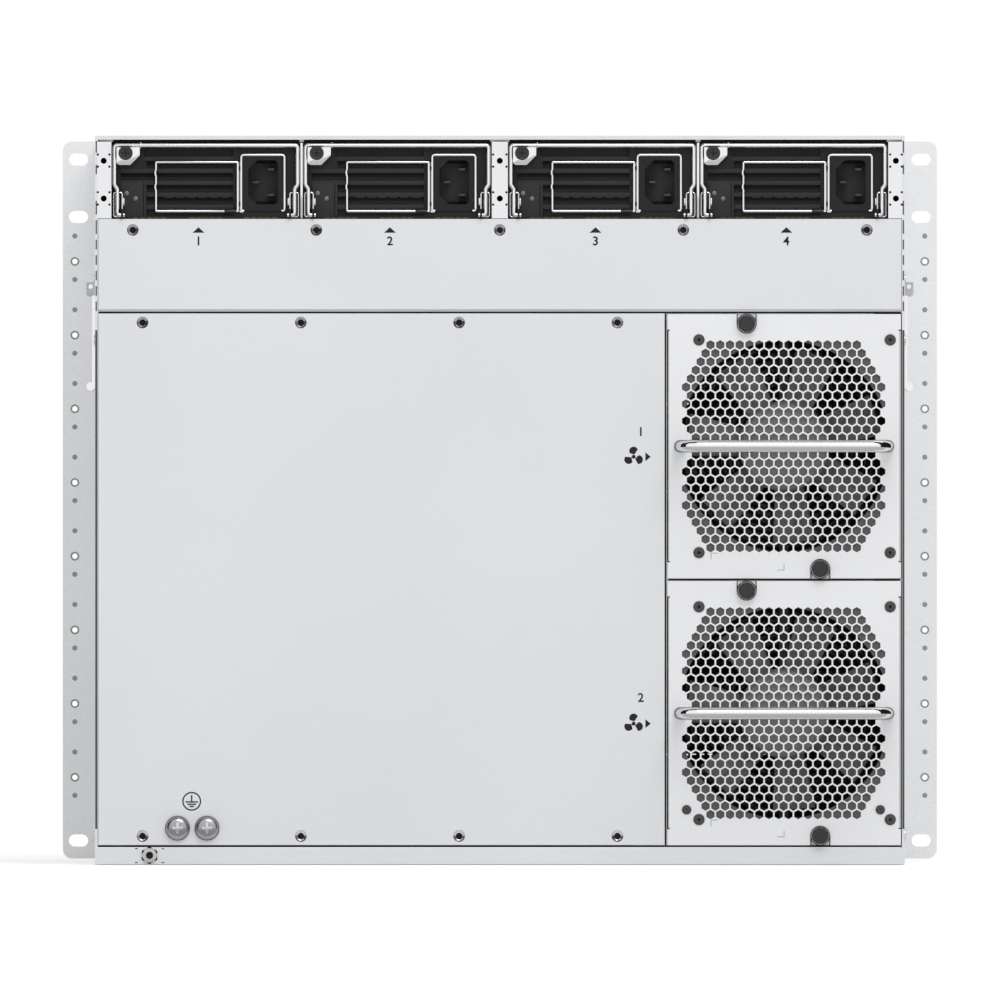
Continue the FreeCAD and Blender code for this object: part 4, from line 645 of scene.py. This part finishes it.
def build_tray_trim(name, bottom):
    rivets, relief, dark = meshes(3)
    for x in (108.2, 212.1):
        for z in (bottom + 14.0, bottom + TRAY_HEIGHT - 14.0):
            add_rivet(rivets, x, z, 6.2)
            # A dark dot in the rivet's dimple: painted shade.
            add_disc(dark, x, z, 0.8, -0.3, -0.2, 16)
    if name == "fan_tray_2":
        for x in (101.5, 206.7):
            add_rivet(rivets, x, 29.6, 5.2)
    for _, x, z, edge in screw_places(bottom):
        # A dark ring round the screw and dark lines down the sides of its notch: painted shadow.
        add_ring(dark, x, z, 4.4, 5.38, -0.12, 0.08, 40, SCREW_SEAT)
        for side in (-1, 1):
            add_block(dark, (x + side * 4.95, x + side * 5.35), rear(0.1, 0.5), (z, edge))
    # Dark ticks at each relief's ends: painted shade.
    for end in SIDE_RELIEF:
        for x in ((TRAY_LEFT - 0.05, TRAY_LEFT + 1.4), (TRAY_RIGHT - 1.4, TRAY_RIGHT)):
            add_block(dark, x, rear(-0.05, 0.1), span(bottom + end, 0.3))
    start, stop = SIDE_RELIEF
    add_block(relief, (TRAY_RIGHT - 0.75, TRAY_RIGHT - 0.1), rear(0.6, 1.0),
              (bottom + start + 0.2, bottom + stop - 0.2))
    finish_piece(f"{name}_rivets", rivets, "disc_grey", name)
    finish_piece(f"{name}_relief", relief, "zinc_sheet", name)
    finish_piece(f"{name}_shadow_rings", dark, "well_black", name)


for name, bottom in TRAYS.items():
    build_tray_trim(name, bottom)


# %% Captive tray screws: a knurled rim and a flat cap
KNURL_STEPS = 48


def build_tray_screw(name, x, z):
    face = SCREW_SEAT - 5.0
    tip = -202.3
    cap, bm = meshes(2)
    add_turned(cap, [(0, -0.5), (3.7, -0.5), (3.95, -0.75), (4.2, -0.55), (4.2, 0.5), (0, 0.5)], x, z, 36,
               base=face)
    finish_piece(f"{name}_cap", cap, "dark_cap", name, standing_for=[name])
    profile = [(4.25, face + 0.15), (4.7, face - 0.05), (5.0, face + 0.25), (5.0, SCREW_SEAT),
               (2.0, SCREW_SEAT), (2.0, tip - 0.8), (1.2, tip), (0, tip), (0, face + 0.6), (4.25, face + 0.6)]
    add_turned(bm, profile, x, z, KNURL_STEPS, closed=True, base=0)
    for corner in bm.verts[:]:
        across, up = corner.co.x - x * MM, corner.co.z - z * MM
        spoke = round(math.atan2(up, across) / (math.tau / KNURL_STEPS))
        if math.hypot(across, up) > 4.9 * MM and spoke % 2:
            bmesh.ops.translate(bm, verts=[corner], vec=Vector((across, 0, up)) * -0.05)
    finish_piece(f"{name}_rim", bm, "screw_steel", name, sharp=20)


for name, bottom in TRAYS.items():
    for place, x, z, _ in screw_places(bottom):
        build_tray_screw(f"{name}_screw_{place}", x, z)


# %% Polished bar handles
def build_bar(name, bottom):
    z, out = bottom + TRAY_HEIGHT / 2, REAR - 34.0
    bm = bmesh.new()
    route = [(98.0, REAR, z), (98.0, out, z), (210.7, out, z), (210.7, REAR, z)]
    add_wire(bm, route, 6.8, 10.0, sides=32, steps=12)
    finish_piece(f"{name}_bar", bm, "bright_steel", name, standing_for=[f"{name}_handle"])


for name, bottom in TRAYS.items():
    build_bar(name, bottom)
print("trays finished:", len(TRAYS))

# %% [markdown]
# ## Supply wires
# Each supply has a bow handle of spring wire, jogged inwards above its feet, with a steel tab welded to
# its bar, and a thin wire loop that keeps the mains lead in. Both are bent on the wire bender above.

# %% Places of the four supplies, and their own measures: across from the middle, up from the foot
SUPPLIES = {"supply_1": -159.6, "supply_2": -55.8, "supply_3": 55.8, "supply_4": 159.6}
SUPPLY_FACE = -207.0
SUPPLY_LOW = 350.9


def on_supply(x, points, depth):
    return [(x + across, SUPPLY_FACE + depth, SUPPLY_LOW + up) for across, up in points]


def add_supply_block(bm, x, across, depth, up, bevel=0.0, segments=2):
    places = (x, across), (SUPPLY_FACE, depth), (SUPPLY_LOW, up)
    add_block(bm, *([base + end for end in ends] for base, ends in places), bevel, segments)


# %% The bow handle with its tab
BOW_DEPTH = -2.7
BOW_HALF = [(44.2, 1.9), (48.1, 1.9), (48.1, 16.0), (49.7, 18.4), (49.7, 39.7)]
BOW_TOP = 39.7
LATCH_ACROSS, LATCH_UP = -43.7, 35.5


def build_bow(name, x):
    bm = bmesh.new()
    route = [(-across, up) for across, up in BOW_HALF] + BOW_HALF[::-1]
    add_wire(bm, on_supply(x, route, BOW_DEPTH), 2.4, 1.5, sides=16, steps=5)
    tab = [(-49.0, BOW_TOP), (-49.0, 31.6)] + arc(-46.6, 31.4, 2.4, 180, 270, 5)
    tab += [(-41.2, 29.0), (-36.0, 34.2), (-36.0, BOW_TOP)]
    add_sheet(bm, [(x + across, SUPPLY_LOW + up) for across, up in tab],
              [(x + LATCH_ACROSS, SUPPLY_LOW + LATCH_UP, 4.4)], SUPPLY_FACE + BOW_DEPTH - 0.5, 1.0, 0.2)
    add_turned_along_x(bm, x - 35.5, SUPPLY_FACE + BOW_DEPTH, SUPPLY_LOW + BOW_TOP, 1.75, 0.9)
    finish_piece(f"{name}_bow_bent", bm, "bright_steel", f"{name}_bow", standing_for=[f"{name}_handle"])


# %% The cable clip's loop, with small kinks in its free leg
CLIP_DEPTH = -1.1
CLIP_NEAR, CLIP_FAR, CLIP_LOW, CLIP_HIGH = 17.2, -27.2, 4.0, 30.6
CLIP_KINKS = [(0, 0), (0, 11.4), (0.4, 12.4), (0.4, 13.8), (0, 14.8), (0, 19.0), (0.4, 20.0), (0.4, 21.6),
              (0, 22.6)]


def build_clip(name, x):
    bm, collar, foot = meshes(3)
    loop = [(CLIP_NEAR, CLIP_LOW)] + [(CLIP_FAR - out, CLIP_LOW + up) for out, up in CLIP_KINKS]
    loop += [(CLIP_FAR, CLIP_HIGH), (CLIP_NEAR, CLIP_HIGH)]
    add_wire(bm, on_supply(x, loop, CLIP_DEPTH), 1.5, 0.6, closed=True, sides=12, steps=4)
    leg = [(CLIP_NEAR, CLIP_HIGH - 1.0), (CLIP_NEAR, CLIP_LOW - 0.4)]
    add_wire(bm, on_supply(x, leg, CLIP_DEPTH), 1.7, 0.5, sides=12, steps=4)
    finish_piece(f"{name}_clip_bent", bm, "bright_steel", f"{name}_clip",
                 standing_for=[f"{name}_cable_clip"])
    add_turned_along_x(collar, x + 13.2, SUPPLY_FACE + CLIP_DEPTH, SUPPLY_LOW + CLIP_LOW, 0.95, 6.6)
    finish_piece(f"{name}_clip_collar", collar, "blade_tin", f"{name}_clip")
    add_supply_block(foot, x, (CLIP_NEAR + 1.0, CLIP_NEAR + 3.2), (-1.3, 0.1), (3.1, 4.3), 0.3)
    finish_piece(f"{name}_clip_foot", foot, "bright_steel", name)


for name, x in SUPPLIES.items():
    build_bow(name, x)
    build_clip(name, x)
print("bent wires:", 2 * len(SUPPLIES))

# %% [markdown]
# ## Supply faces
# The charcoal face has deep slots with ribs between them, a small plate with two lamps, and the mains
# inlet in a bright steel rim. The solid already has the slots and the socket, so only the finer trim is
# added: rounded ribs, teeth under the last two ribs, the plate, the lamps, the rim and the blades.

# %% Ribs, teeth, plate and lamps
RIBS = [(31.2, 33.8, -33.8), (24.6, 27.4, -46.5), (18.1, 20.9, -46.5), (11.7, 14.4, -32.4), (5.0, 7.9, -32.4)]
RIB_END = 14.6


def build_face_trim(name, x):
    trim, rib_shade, lamps = meshes(3)
    for low, high, left in RIBS:
        add_supply_block(trim, x, (left, RIB_END), (-0.25, 0.6), (low, high - 0.5), 0.24)
    for low, _, _ in RIBS[3:]:
        for i in range(6):
            left = -22.5 + i * 6.1
            add_supply_block(trim, x, (left, left + 4.6), (-0.1, 0.9), (low - 0.6, low + 0.3), 0.2)
    add_supply_block(trim, x, (-46.2, -34.1), (-0.4, 0.3), (0.4, 19.4), 0.3)
    add_supply_block(trim, x, (-33.8, -32.4), (-0.7, 0.3), (0.4, 20.9), 0.3)
    # Black strips in the slots right under the first four ribs: painted shade under each rib.
    for low, _, left in RIBS[:4]:
        add_supply_block(rib_shade, x, (left, RIB_END), (1.65, 1.9), (low - 2.1, low))
    lens_profile = [(0, -0.85), (0.7, -0.78), (1.15, -0.55), (1.25, -0.3), (1.25, 0), (0, 0)]
    for across, up in ((-43.1, 13.7), (-38.3, 10.8)):
        add_turned(lamps, lens_profile, x + across, SUPPLY_LOW + up, 24, base=SUPPLY_FACE)
    finish_piece(f"{name}_trim", trim, "rib_plastic", name)
    finish_piece(f"{name}_slot_rib_shade", rib_shade, "well_black", name)
    finish_piece(f"{name}_lamps", lamps, "lamp_lens", name)


# %% Inlet rim and blades
INLET_LEFT, INLET_RIGHT, INLET_LOW, INLET_HIGH = 19.1, 42.6, 4.4, 34.5
INLET_MIDDLE = 19.6
INLET_FLOOR = 16.2
RIM_DEPTH = -0.85


def build_inlet(name, x):
    rim, blades, floor = meshes(3)
    route = [(INLET_LEFT, INLET_LOW), (INLET_LEFT, INLET_HIGH), (INLET_RIGHT, INLET_HIGH),
             (INLET_RIGHT, INLET_LOW)]
    add_wire(rim, on_supply(x, route, RIM_DEPTH), 1.6, 1.4, sides=14, steps=6)
    for side, way in ((INLET_LEFT, 1), (INLET_RIGHT, -1)):
        end = [(side, INLET_LOW + 0.6), (side, INLET_LOW - 0.2), (side + way * 1.6, INLET_LOW - 0.2)]
        add_wire(rim, on_supply(x, end, RIM_DEPTH), 1.2, 0.4, sides=12, steps=4)
    for across, rise in ((35.2, 6.95), (27.0, 0.0), (35.2, -6.95)):
        add_supply_block(blades, x, span(across, 2.0), (INLET_FLOOR - 14.1, INLET_FLOOR - 0.1),
                         span(INLET_MIDDLE + rise, 0.75), 0.35, 3)
    add_supply_block(floor, x, (23.4, 39.4), (INLET_FLOOR - 0.5, INLET_FLOOR - 0.05),
                     span(INLET_MIDDLE, 10.4), 0.1)
    finish_piece(f"{name}_inlet_rim", rim, "bright_steel", name)
    finish_piece(f"{name}_blades", blades, "blade_tin", name)
    finish_piece(f"{name}_inlet_floor", floor, "inlet_grey", name)


# %% Spring clips over the bow's feet, and the screw in the tab
def build_feet(name, x):
    bm = bmesh.new()
    for side in (-1, 1):
        inner, outer = side * 45.6, side * 50.1
        loop = [(inner, 1.0), (inner, 14.0), (outer, 14.0), (outer, 1.0)]
        add_wire(bm, on_supply(x, loop, -0.9), 0.9, 0.9, closed=True, sides=10, steps=4)
        add_supply_block(bm, x, (side * 44.3, side * 45.1), (-1.2, 0.2), (7.0, 11.0), 0.3)
    finish_piece(f"{name}_spring_clips", bm, "bright_steel", name)


def build_latch(name, x):
    under = BOW_DEPTH - 1.5
    face = under - 3.6
    tip = 4.6
    head, cross = meshes(2)
    profile = [(0, face + 0.5), (2.1, face + 0.5), (2.45, face + 0.1), (2.8, face), (3.45, face),
               (3.8, face + 0.3), (3.9, face + 0.7), (3.9, under), (2.6, under), (2.6, -3.2), (1.8, -3.2),
               (1.8, tip - 0.6), (1.2, tip), (0, tip)]
    add_turned(head, profile, x + LATCH_ACROSS, SUPPLY_LOW + LATCH_UP, 36, base=SUPPLY_FACE)
    finish_piece(f"{name}_latch_head", head, "dark_cap", f"{name}_latch", standing_for=[f"{name}_screw"])
    for reach, rise in ((1.9, 0.35), (0.35, 1.9)):
        add_supply_block(cross, x, span(LATCH_ACROSS, reach), (face + 0.42, face + 0.7),
                         span(LATCH_UP, rise), 0.08, 1)
    finish_piece(f"{name}_latch_cross", cross, "dark_plastic", f"{name}_latch")


# %% The gasket's teeth under each supply
def build_gasket(name, x):
    bm = bmesh.new()
    for group_left in (-39.6, -9.4, 20.6):
        for i in range(5):
            left = group_left + i * 3.75
            add_supply_block(bm, x, (left, left + 3.0), (-0.15, 0.3), (0.02, 0.5), 0.1, 1)
    finish_piece(f"{name}_gasket", bm, "gasket_brass", name)


for name, x in SUPPLIES.items():
    for build in (build_face_trim, build_inlet, build_feet, build_latch, build_gasket):
        build(name, x)
print("supplies trimmed:", len(SUPPLIES))

# %% [markdown]
# ## Painted gap shade and bend reliefs
# A dark line of shade shows between the rear panel and the power cover, along the foot, beside and
# between the trays, and under the lid over each supply, and thin pieces of plain black paint it in. The
# posts have pairs of small bend reliefs, and black dots paint in the shade inside them. A few bright
# pieces stand for the edges that catch the light.

# %% Painted shade in the gaps, and the bend reliefs
TRAY_GAPS = ((10.9, 153.4), (156.0, 298.5))
bm = bmesh.new()
# Black strips in the gaps round the panels, between the trays and under the lid: painted shade.
for x, z in (((-218.0, 218.0), (299.35, 300.25)), ((-219.0, 89.4), (9.35, 10.3)),
             ((89.5, 218.0), (9.35, 10.3)), ((89.65, 90.45), (10.4, 299.2))):
    add_block(bm, x, rear(0.8, 1.15), z)
add_block(bm, (91.5, 217.5), rear(1.3, 1.6), (154.2, 155.0))
for x in SUPPLIES.values():
    add_block(bm, span(x, 50.6), (SUPPLY_FACE - 0.15, SUPPLY_FACE + 0.2), (391.6, 394.1))
# Black dots on the posts for the bend reliefs: painted shade inside them.
for x in (-218.4, -212.1, -3.6, 3.6, 212.1, 218.4):
    for z in (385.6, 379.0, 365.1, 358.4):
        add_disc(bm, x, z, 0.65, -0.02, 0.1, 14)
for gap in TRAY_GAPS:
    add_block(bm, (90.95, 91.5), rear(1.3, 1.5), gap)
finish_piece("gap_shade_and_reliefs", bm, "well_black")

# %% Edges beside the trays, a painted highlight along the foot, the dividers, and painted shade down the housing's corners
LINE_SPANS = [(low, low + 5.2) for low in (300.5, 308.9, 317.3, 325.7, 334.1)]
LINE_SPANS += [(342.5, 350.0), (353.0, 360.5), (375.0, 380.0), (386.5, 393.0)]
stops, highlight_lip, dividers, lines = meshes(4)
for gap in TRAY_GAPS:
    add_block(stops, (91.5, 92.1), rear(1.3, 1.5), gap)
# The foot's lip, in the lighter ear paint so that it reads as lit: painted highlight.
add_block(highlight_lip, (-219.2, 217.8), rear(-0.03, 0.7), (8.8, 9.3))
for side in (-1, 1):
    add_block(dividers, (side * 107.05, side * 108.35), (SUPPLY_FACE - 2.4, SUPPLY_FACE + 2.0),
              (SUPPLY_LOW + 0.4, 391.8), 0.15)
    # Dark lines and dashes down the housing's corners: painted shade where the corners turn away from the
    # light.
    add_block(lines, (side * 219.8, side * 218.7), rear(-0.06, 0.1), (19.2, 290.2))
    for ends in LINE_SPANS:
        add_block(lines, (side * 219.6, side * 218.9), rear(-0.06, 0.1), ends)
finish_piece("tray_stops", stops, "zinc_sheet")
finish_piece("base_lip_highlight", highlight_lip, "ear_paint")
finish_piece("divider_edges", dividers, "bright_steel")
finish_piece("corner_shade_lines", lines, "disc_grey")
print("pieces so far:", len(pieces_made))

# %% [markdown]
# ## Ground screws and wrist strap jack
# Two large cross-head screws with washers stand at the panel's foot, bright against the paint. The jack
# is a small hexagonal socket in the base edge.

# %% Domed screw heads with a cross; painted shade: a dark ring round each head, a dark outline on the jack's hexagon and the black in its bore
JACK_X, JACK_Z = -190.3, 4.85
DOME = [(0, -4.3), (2.4, -4.25), (4.2, -3.9), (5.5, -3.2), (6.2, -2.3), (6.4, -1.4), (6.3, -0.5), (5.9, 0),
        (3.0, 0), (3.0, 9.0), (0, 9.0)]
CROSS_QUARTER = [(3.0, 0.8), (0.8, 0.8), (0.8, 3.0)]
cross = CROSS_QUARTER + [(-a, c) for a, c in reversed(CROSS_QUARTER)]
cross += [(-a, -c) for a, c in CROSS_QUARTER] + [(a, -c) for a, c in reversed(CROSS_QUARTER)]

domes, crosses, dark = meshes(3)
for x, z in GROUND_SCREWS:
    add_turned(domes, DOME, x, z, 48)
    add_sheet(crosses, [(x + a, z + c) for a, c in cross], [], REAR - 4.7, 1.4, 0.15)
    # A dark ring round each head: painted shadow.
    add_ring(dark, x, z, 5.9, 6.72, -0.25, -0.02, 48)
# Black in the jack's bore and a dark outline on the left of its hexagon: painted shade.
add_disc(dark, JACK_X, JACK_Z, 2.15, -0.7, 0.2, 24)
add_sheet(dark, arc(JACK_X, JACK_Z, 4.83, 30, 330, 5), [], REAR - 0.08, 0.1, 0)
for x in (JACK_X - 7.2, JACK_X + 7.2):
    for ends in ((0.7, 1.2), (8.2, 8.7)):
        add_block(dark, span(x, 0.7), rear(-0.05, 0.1), ends)
finish_piece("ground_screw_heads", domes, "ground_steel", standing_for=["ground_screws"])
finish_piece("ground_screw_crosses", crosses, "screw_steel")
finish_piece("ground_shade_rings_and_jack_bore", dark, "well_black")
print("ground screws:", len(GROUND_SCREWS))

# %% [markdown]
# ## Printed marks
# The real chassis carries plain printed marks: numbers for the supplies and trays, arrows up to each
# supply, a fan sign and the earth sign. They are thin inlays of dark ink. Numbers come from a text
# object turned into a mesh before it is placed.

# %% Numbers
INK_Y = REAR - 0.03
INK_THICKNESS = 0.08
NUMBER_HEIGHT, CAPITALS = 4.9, 0.73
SUPPLY_MARKS = (-163.7, -59.7, 52.0, 155.7)


def build_number(name, text, x, z):
    words = bpy.data.curves.new(name, "FONT")
    words.body = text
    words.align_x, words.align_y = "CENTER", "CENTER"
    words.size = NUMBER_HEIGHT * MM / CAPITALS
    words.extrude = INK_THICKNESS / 2 * MM
    words.offset = 0.12 * MM
    carrier = bpy.data.objects.new(f"{name}_words", words)
    mesh = bpy.data.meshes.new_from_object(carrier)
    bpy.data.objects.remove(carrier)
    mesh.transform(Matrix.Translation((x * MM, INK_Y * MM, z * MM)) @ UPRIGHT)
    mesh.materials.clear()
    mesh.materials.append(FINISH["printed_ink"])
    piece = bpy.data.objects.new(name, mesh)
    scene.collection.objects.link(piece)
    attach(piece, "chassis")
    pieces_made.append(name)


for number, x in enumerate(SUPPLY_MARKS, 1):
    build_number(f"supply_number_{number}", str(number), x, 338.4)
for number, z in ((1, 234.8), (2, 90.3)):
    build_number(f"tray_number_{number}", str(number), 76.6, z)
print("numbers:", len(SUPPLY_MARKS) + len(TRAYS))


# %% Arrows, fan signs and the earth sign
def add_mark(bm, points):
    add_sheet(bm, points, [], INK_Y, INK_THICKNESS, 0)


def add_fan_sign(bm, x, z):
    add_mark(bm, arc(x, z, 1.1, 0, 345, 23))
    for turn in (90, 210, 330):
        blade_x, blade_z = arc(x, z, 3.1, turn, turn, 1)[0]
        add_mark(bm, arc(blade_x, blade_z, 2.4, turn - 70, turn + 120, 10)
                 + arc(x, z, 1.3, turn - 20, turn - 20, 1)[:1])


def add_earth_sign(bm, x, z):
    edges = add_loop(bm, arc(x, z, 5.15, 0, 350, 35), INK_Y) + add_loop(bm, arc(x, z, 4.4, 0, 350, 35), INK_Y)
    fill_sheet(bm, edges, [], INK_Y, INK_THICKNESS, 0, [])
    add_mark(bm, rectangle(*span(x, 0.38), z, z + 3.4))
    for half_width, rise in ((3.4, -0.35), (2.35, -1.6), (1.2, -2.8)):
        add_mark(bm, rectangle(*span(x, half_width), *span(z + rise, 0.38)))


signs = bmesh.new()
for x in SUPPLY_MARKS:
    add_mark(signs, [(x - 3.25, 343.1), (x + 3.25, 343.1), (x, 346.1)])
for z in (221.4, 76.4):
    add_mark(signs, [(79.1, z - 2.4), (82.0, z), (79.1, z + 2.4)])
    add_fan_sign(signs, 72.7, z)
add_earth_sign(signs, -167.4, 34.2)
finish_piece("printed_signs", signs, "printed_ink")
for name, bottom in TRAYS.items():
    bm = bmesh.new()
    for x, z, way in ((114.6, bottom + 13.9, 1), (154.6, bottom + 4.4, -1)):
        for width, height in ((0.35, 3.6), (3.8, 0.35)):
            add_mark(bm, rectangle(*sorted((x, x + way * width)), *sorted((z, z - way * height))))
    finish_piece(f"{name.removeprefix('fan_')}_corner_marks", bm, "faint_mark", name)
print("pieces so far:", len(pieces_made))

# %% [markdown]
# ## Rack ears
# Down each ear runs a column of small pierced rings with a shallow dot above and below each. The solid
# has the holes, so thin turned rims and dots finish them.

# %% Rims and dots on the ears
EAR_BACK = 206.0
RING_COUNT, RING_PITCH = 8, 40.69
RIM = [(1.5, 0.1), (1.7, -0.15), (2.3, -0.15), (2.5, 0.1)]
DOT = [(0, -0.06), (1.35, -0.06), (1.5, 0.05), (0, 0.05)]
for side, word in ((-1, "left"), (1, "right")):
    rims, dots = meshes(2)
    for i in range(RING_COUNT):
        x, z = side * 234.65, 44.8 + RING_PITCH * i
        add_turned(rims, RIM, x, z, 28, True, EAR_BACK)
        for rise in (14.0, -10.0):
            add_turned(dots, DOT, x, z + rise, 20, base=EAR_BACK)
    finish_piece(f"ear_rims_{word}", rims, "rim_grey")
    finish_piece(f"ear_dots_{word}", dots, "faint_mark")
print("rings on each ear:", RING_COUNT)

# %% [markdown]
# ## Card ports
# The front side carries four plug-in cards. Its face isn't in the photograph, so it is finished plainly:
# a row of port openings in a steel bezel, and a lamp over each.

# %% Ports on each card
CARDS_LOW, SLOT_PITCH = 8.9, (299.5 - 8.9) / 6
CARDS = {"line_card_1": 4, "control_card_1": 3, "control_card_2": 2, "line_card_2": 1}


def build_ports(name, slot):
    row = CARDS_LOW + SLOT_PITCH * slot + 8.2
    count, pitch = (22, 13.4) if name.startswith("line") else (8, 16.0)
    bezel, wells, lamps = meshes(3)
    edges = add_loop(bezel, rectangle(-149.0, 149.0, row - 1.0, row + 14.6), FRONT + 0.9)
    for i in range(count):
        x = (i - (count - 1) / 2) * pitch
        edges += add_loop(bezel, rectangle(*span(x, pitch / 2 - 1.0), row + 1.2, row + 11.6), FRONT + 0.9)
        add_block(wells, span(x, pitch / 2 - 0.9), (FRONT + 0.02, FRONT + 0.25), (row + 1.1, row + 11.7),
                  0.05, 1)
        add_block(lamps, span(x, 0.8), (FRONT + 0.5, FRONT + 1.05), (row + 12.6, row + 13.6), 0.2)
    fill_sheet(bezel, edges, [], FRONT + 0.9, -0.85, 0, [])
    finish_piece(f"{name}_bezel", bezel, "zinc_sheet", name)
    finish_piece(f"{name}_wells", wells, "well_black", name)
    finish_piece(f"{name}_lamps", lamps, "lamp_lens", name)


for name, slot in CARDS.items():
    build_ports(name, slot)
print("cards with ports:", len(CARDS))

# %% [markdown]
# ## Screws in the sides and the blank panels
# The photograph doesn't show these sides. On such a chassis, flat screws hold the side walls, the lid's
# skirts and the blank panels, so each gets a plain row of them: a low turned head with a black cross that
# paints in the shade of its recess.

# %% Flat screws
SIDE = 220.0
FLAT_HEAD = [(0, -0.2), (3.4, -0.2), (3.4, 0.5), (3.2, 0.7), (0, 0.7)]


def add_flat_screw(heads, crosses, x, y, z, outward):
    """A flat head that faces along X where outward is a side, or along +Y where it is 0."""
    if outward:
        add_turned_along_x(heads, x + outward * 0.25, y, z, 3.4, 0.9)
    else:
        add_turned(heads, FLAT_HEAD, x, z, 28, base=y)
    # The black cross stands for the shade in the head's cross recess: painted shade.
    for rise, reach in ((0.35, 1.9), (1.9, 0.35)):
        if outward:
            add_block(crosses, (x + outward * 0.62, x + outward * 0.74), span(y, reach), span(z, rise))
        else:
            add_block(crosses, span(x, reach), (y + 0.6, y + 0.74), span(z, rise))


heads, crosses = meshes(2)
for side in (-1, 1):
    for y in (-190.0, -100.0, 100.0, 155.0):
        for z in (16.0, 285.0, 318.0):
            add_flat_screw(heads, crosses, side * SIDE, y, z, side)
for panel in ("blank_panel_upper", "blank_panel_lower"):
    low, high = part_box(panel)
    for x in (-206.0, 206.0):
        add_flat_screw(heads, crosses, x, high[1] / MM, (low[2] + high[2]) / 2 / MM, 0)
finish_piece("flat_screw_heads", heads, "screw_steel")
finish_piece("flat_screw_cross_shade", crosses, "well_black")
print("flat screws:", 2 * 4 * 3 + 4)

# %% [markdown]
# ## Floor, light and background
# The background is plain white, so the world shows white to the camera and in reflections, and lights
# the object at a plainer level. The floor is pale and keeps a soft shadow. One broad lamp from above
# makes the top of the housing a little lighter than its foot, as in the photograph.

# %% Floor
FLOOR_LIFT = 0.26
floor_paint = bpy.data.materials.new("floor_paint")
FINISH["floor_paint"] = floor_paint
floor_paint.use_nodes = True
tree = floor_paint.node_tree
shader = tree.nodes["Principled BSDF"]
set_inputs(shader, {"Base Color": (0.9, 0.9, 0.9, 1), "Roughness": 0.8, "Emission Color": (1, 1, 1, 1)})
rays = tree.nodes.new("ShaderNodeLightPath").outputs
feed(tree, shader.inputs["Emission Strength"],
     add_math(tree, "MULTIPLY", rays["Is Camera Ray"], FLOOR_LIFT))
bm = bmesh.new()
bmesh.ops.create_grid(bm, x_segments=1, y_segments=1, size=3.0, matrix=Matrix.Translation((0, 0, -0.0004)))
new_object("studio_floor", bm, "floor_paint")

# %% World: white to the camera, a plainer level for light
WORLD_LEVEL = 0.75
world = bpy.data.worlds.new("studio_white")
scene.world = world
world.use_nodes = True
tree = world.node_tree
tree.nodes.clear()
rays = tree.nodes.new("ShaderNodeLightPath").outputs
seen = add_math(tree, "MAXIMUM", rays["Is Camera Ray"], rays["Is Glossy Ray"])
seen = add_math(tree, "MAXIMUM", seen, rays["Is Transmission Ray"])
choose = tree.nodes.new("ShaderNodeMixShader")
tree.links.new(seen, choose.inputs["Fac"])
for place, strength in ((1, WORLD_LEVEL), (2, 1.0)):
    shade = tree.nodes.new("ShaderNodeBackground")
    set_inputs(shade, {"Color": (1, 1, 1, 1), "Strength": strength})
    tree.links.new(shade.outputs["Background"], choose.inputs[place])
out = tree.nodes.new("ShaderNodeOutputWorld")
tree.links.new(choose.outputs["Shader"], out.inputs["Surface"])
print("world level:", WORLD_LEVEL)

# %% The lamp
lamp_data = bpy.data.lights.new("broad_lamp", "AREA")
lamp_data.size = 1.6
lamp_data.energy = 29.0
lamp = bpy.data.objects.new("broad_lamp", lamp_data)
lamp.location = (0.55, -2.1, 2.45)
lamp.rotation_mode = "QUATERNION"
lamp.rotation_quaternion = (Vector((0, -0.2, 0.2)) - lamp.location).to_track_quat("-Z", "Y")
scene.collection.objects.link(lamp)


# %% Boards seen only in reflections: polished bars and wires get a bright band between darker ones
def add_board(name, x, y, z, finish):
    bm = bmesh.new()
    add_block(bm, x, y, z)
    board = new_object(name, bm, finish)
    board.visible_camera = board.visible_diffuse = False
    board.visible_shadow = board.visible_transmission = False


add_board("board_left", (-910, -900), (-760, 200), (-100, 1200), "well_black")
add_board("board_right", (900, 910), (-760, 200), (-100, 1200), "well_black")
add_board("board_above", (-1400, 1400), (-640, -230), (1000, 1010), "well_black")
add_board("board_below", (-1400, 1400), (-2400, -230), (1, 3), "board_grey")
scene.view_settings.view_transform = "Standard"
print("pieces made:", len(pieces_made))
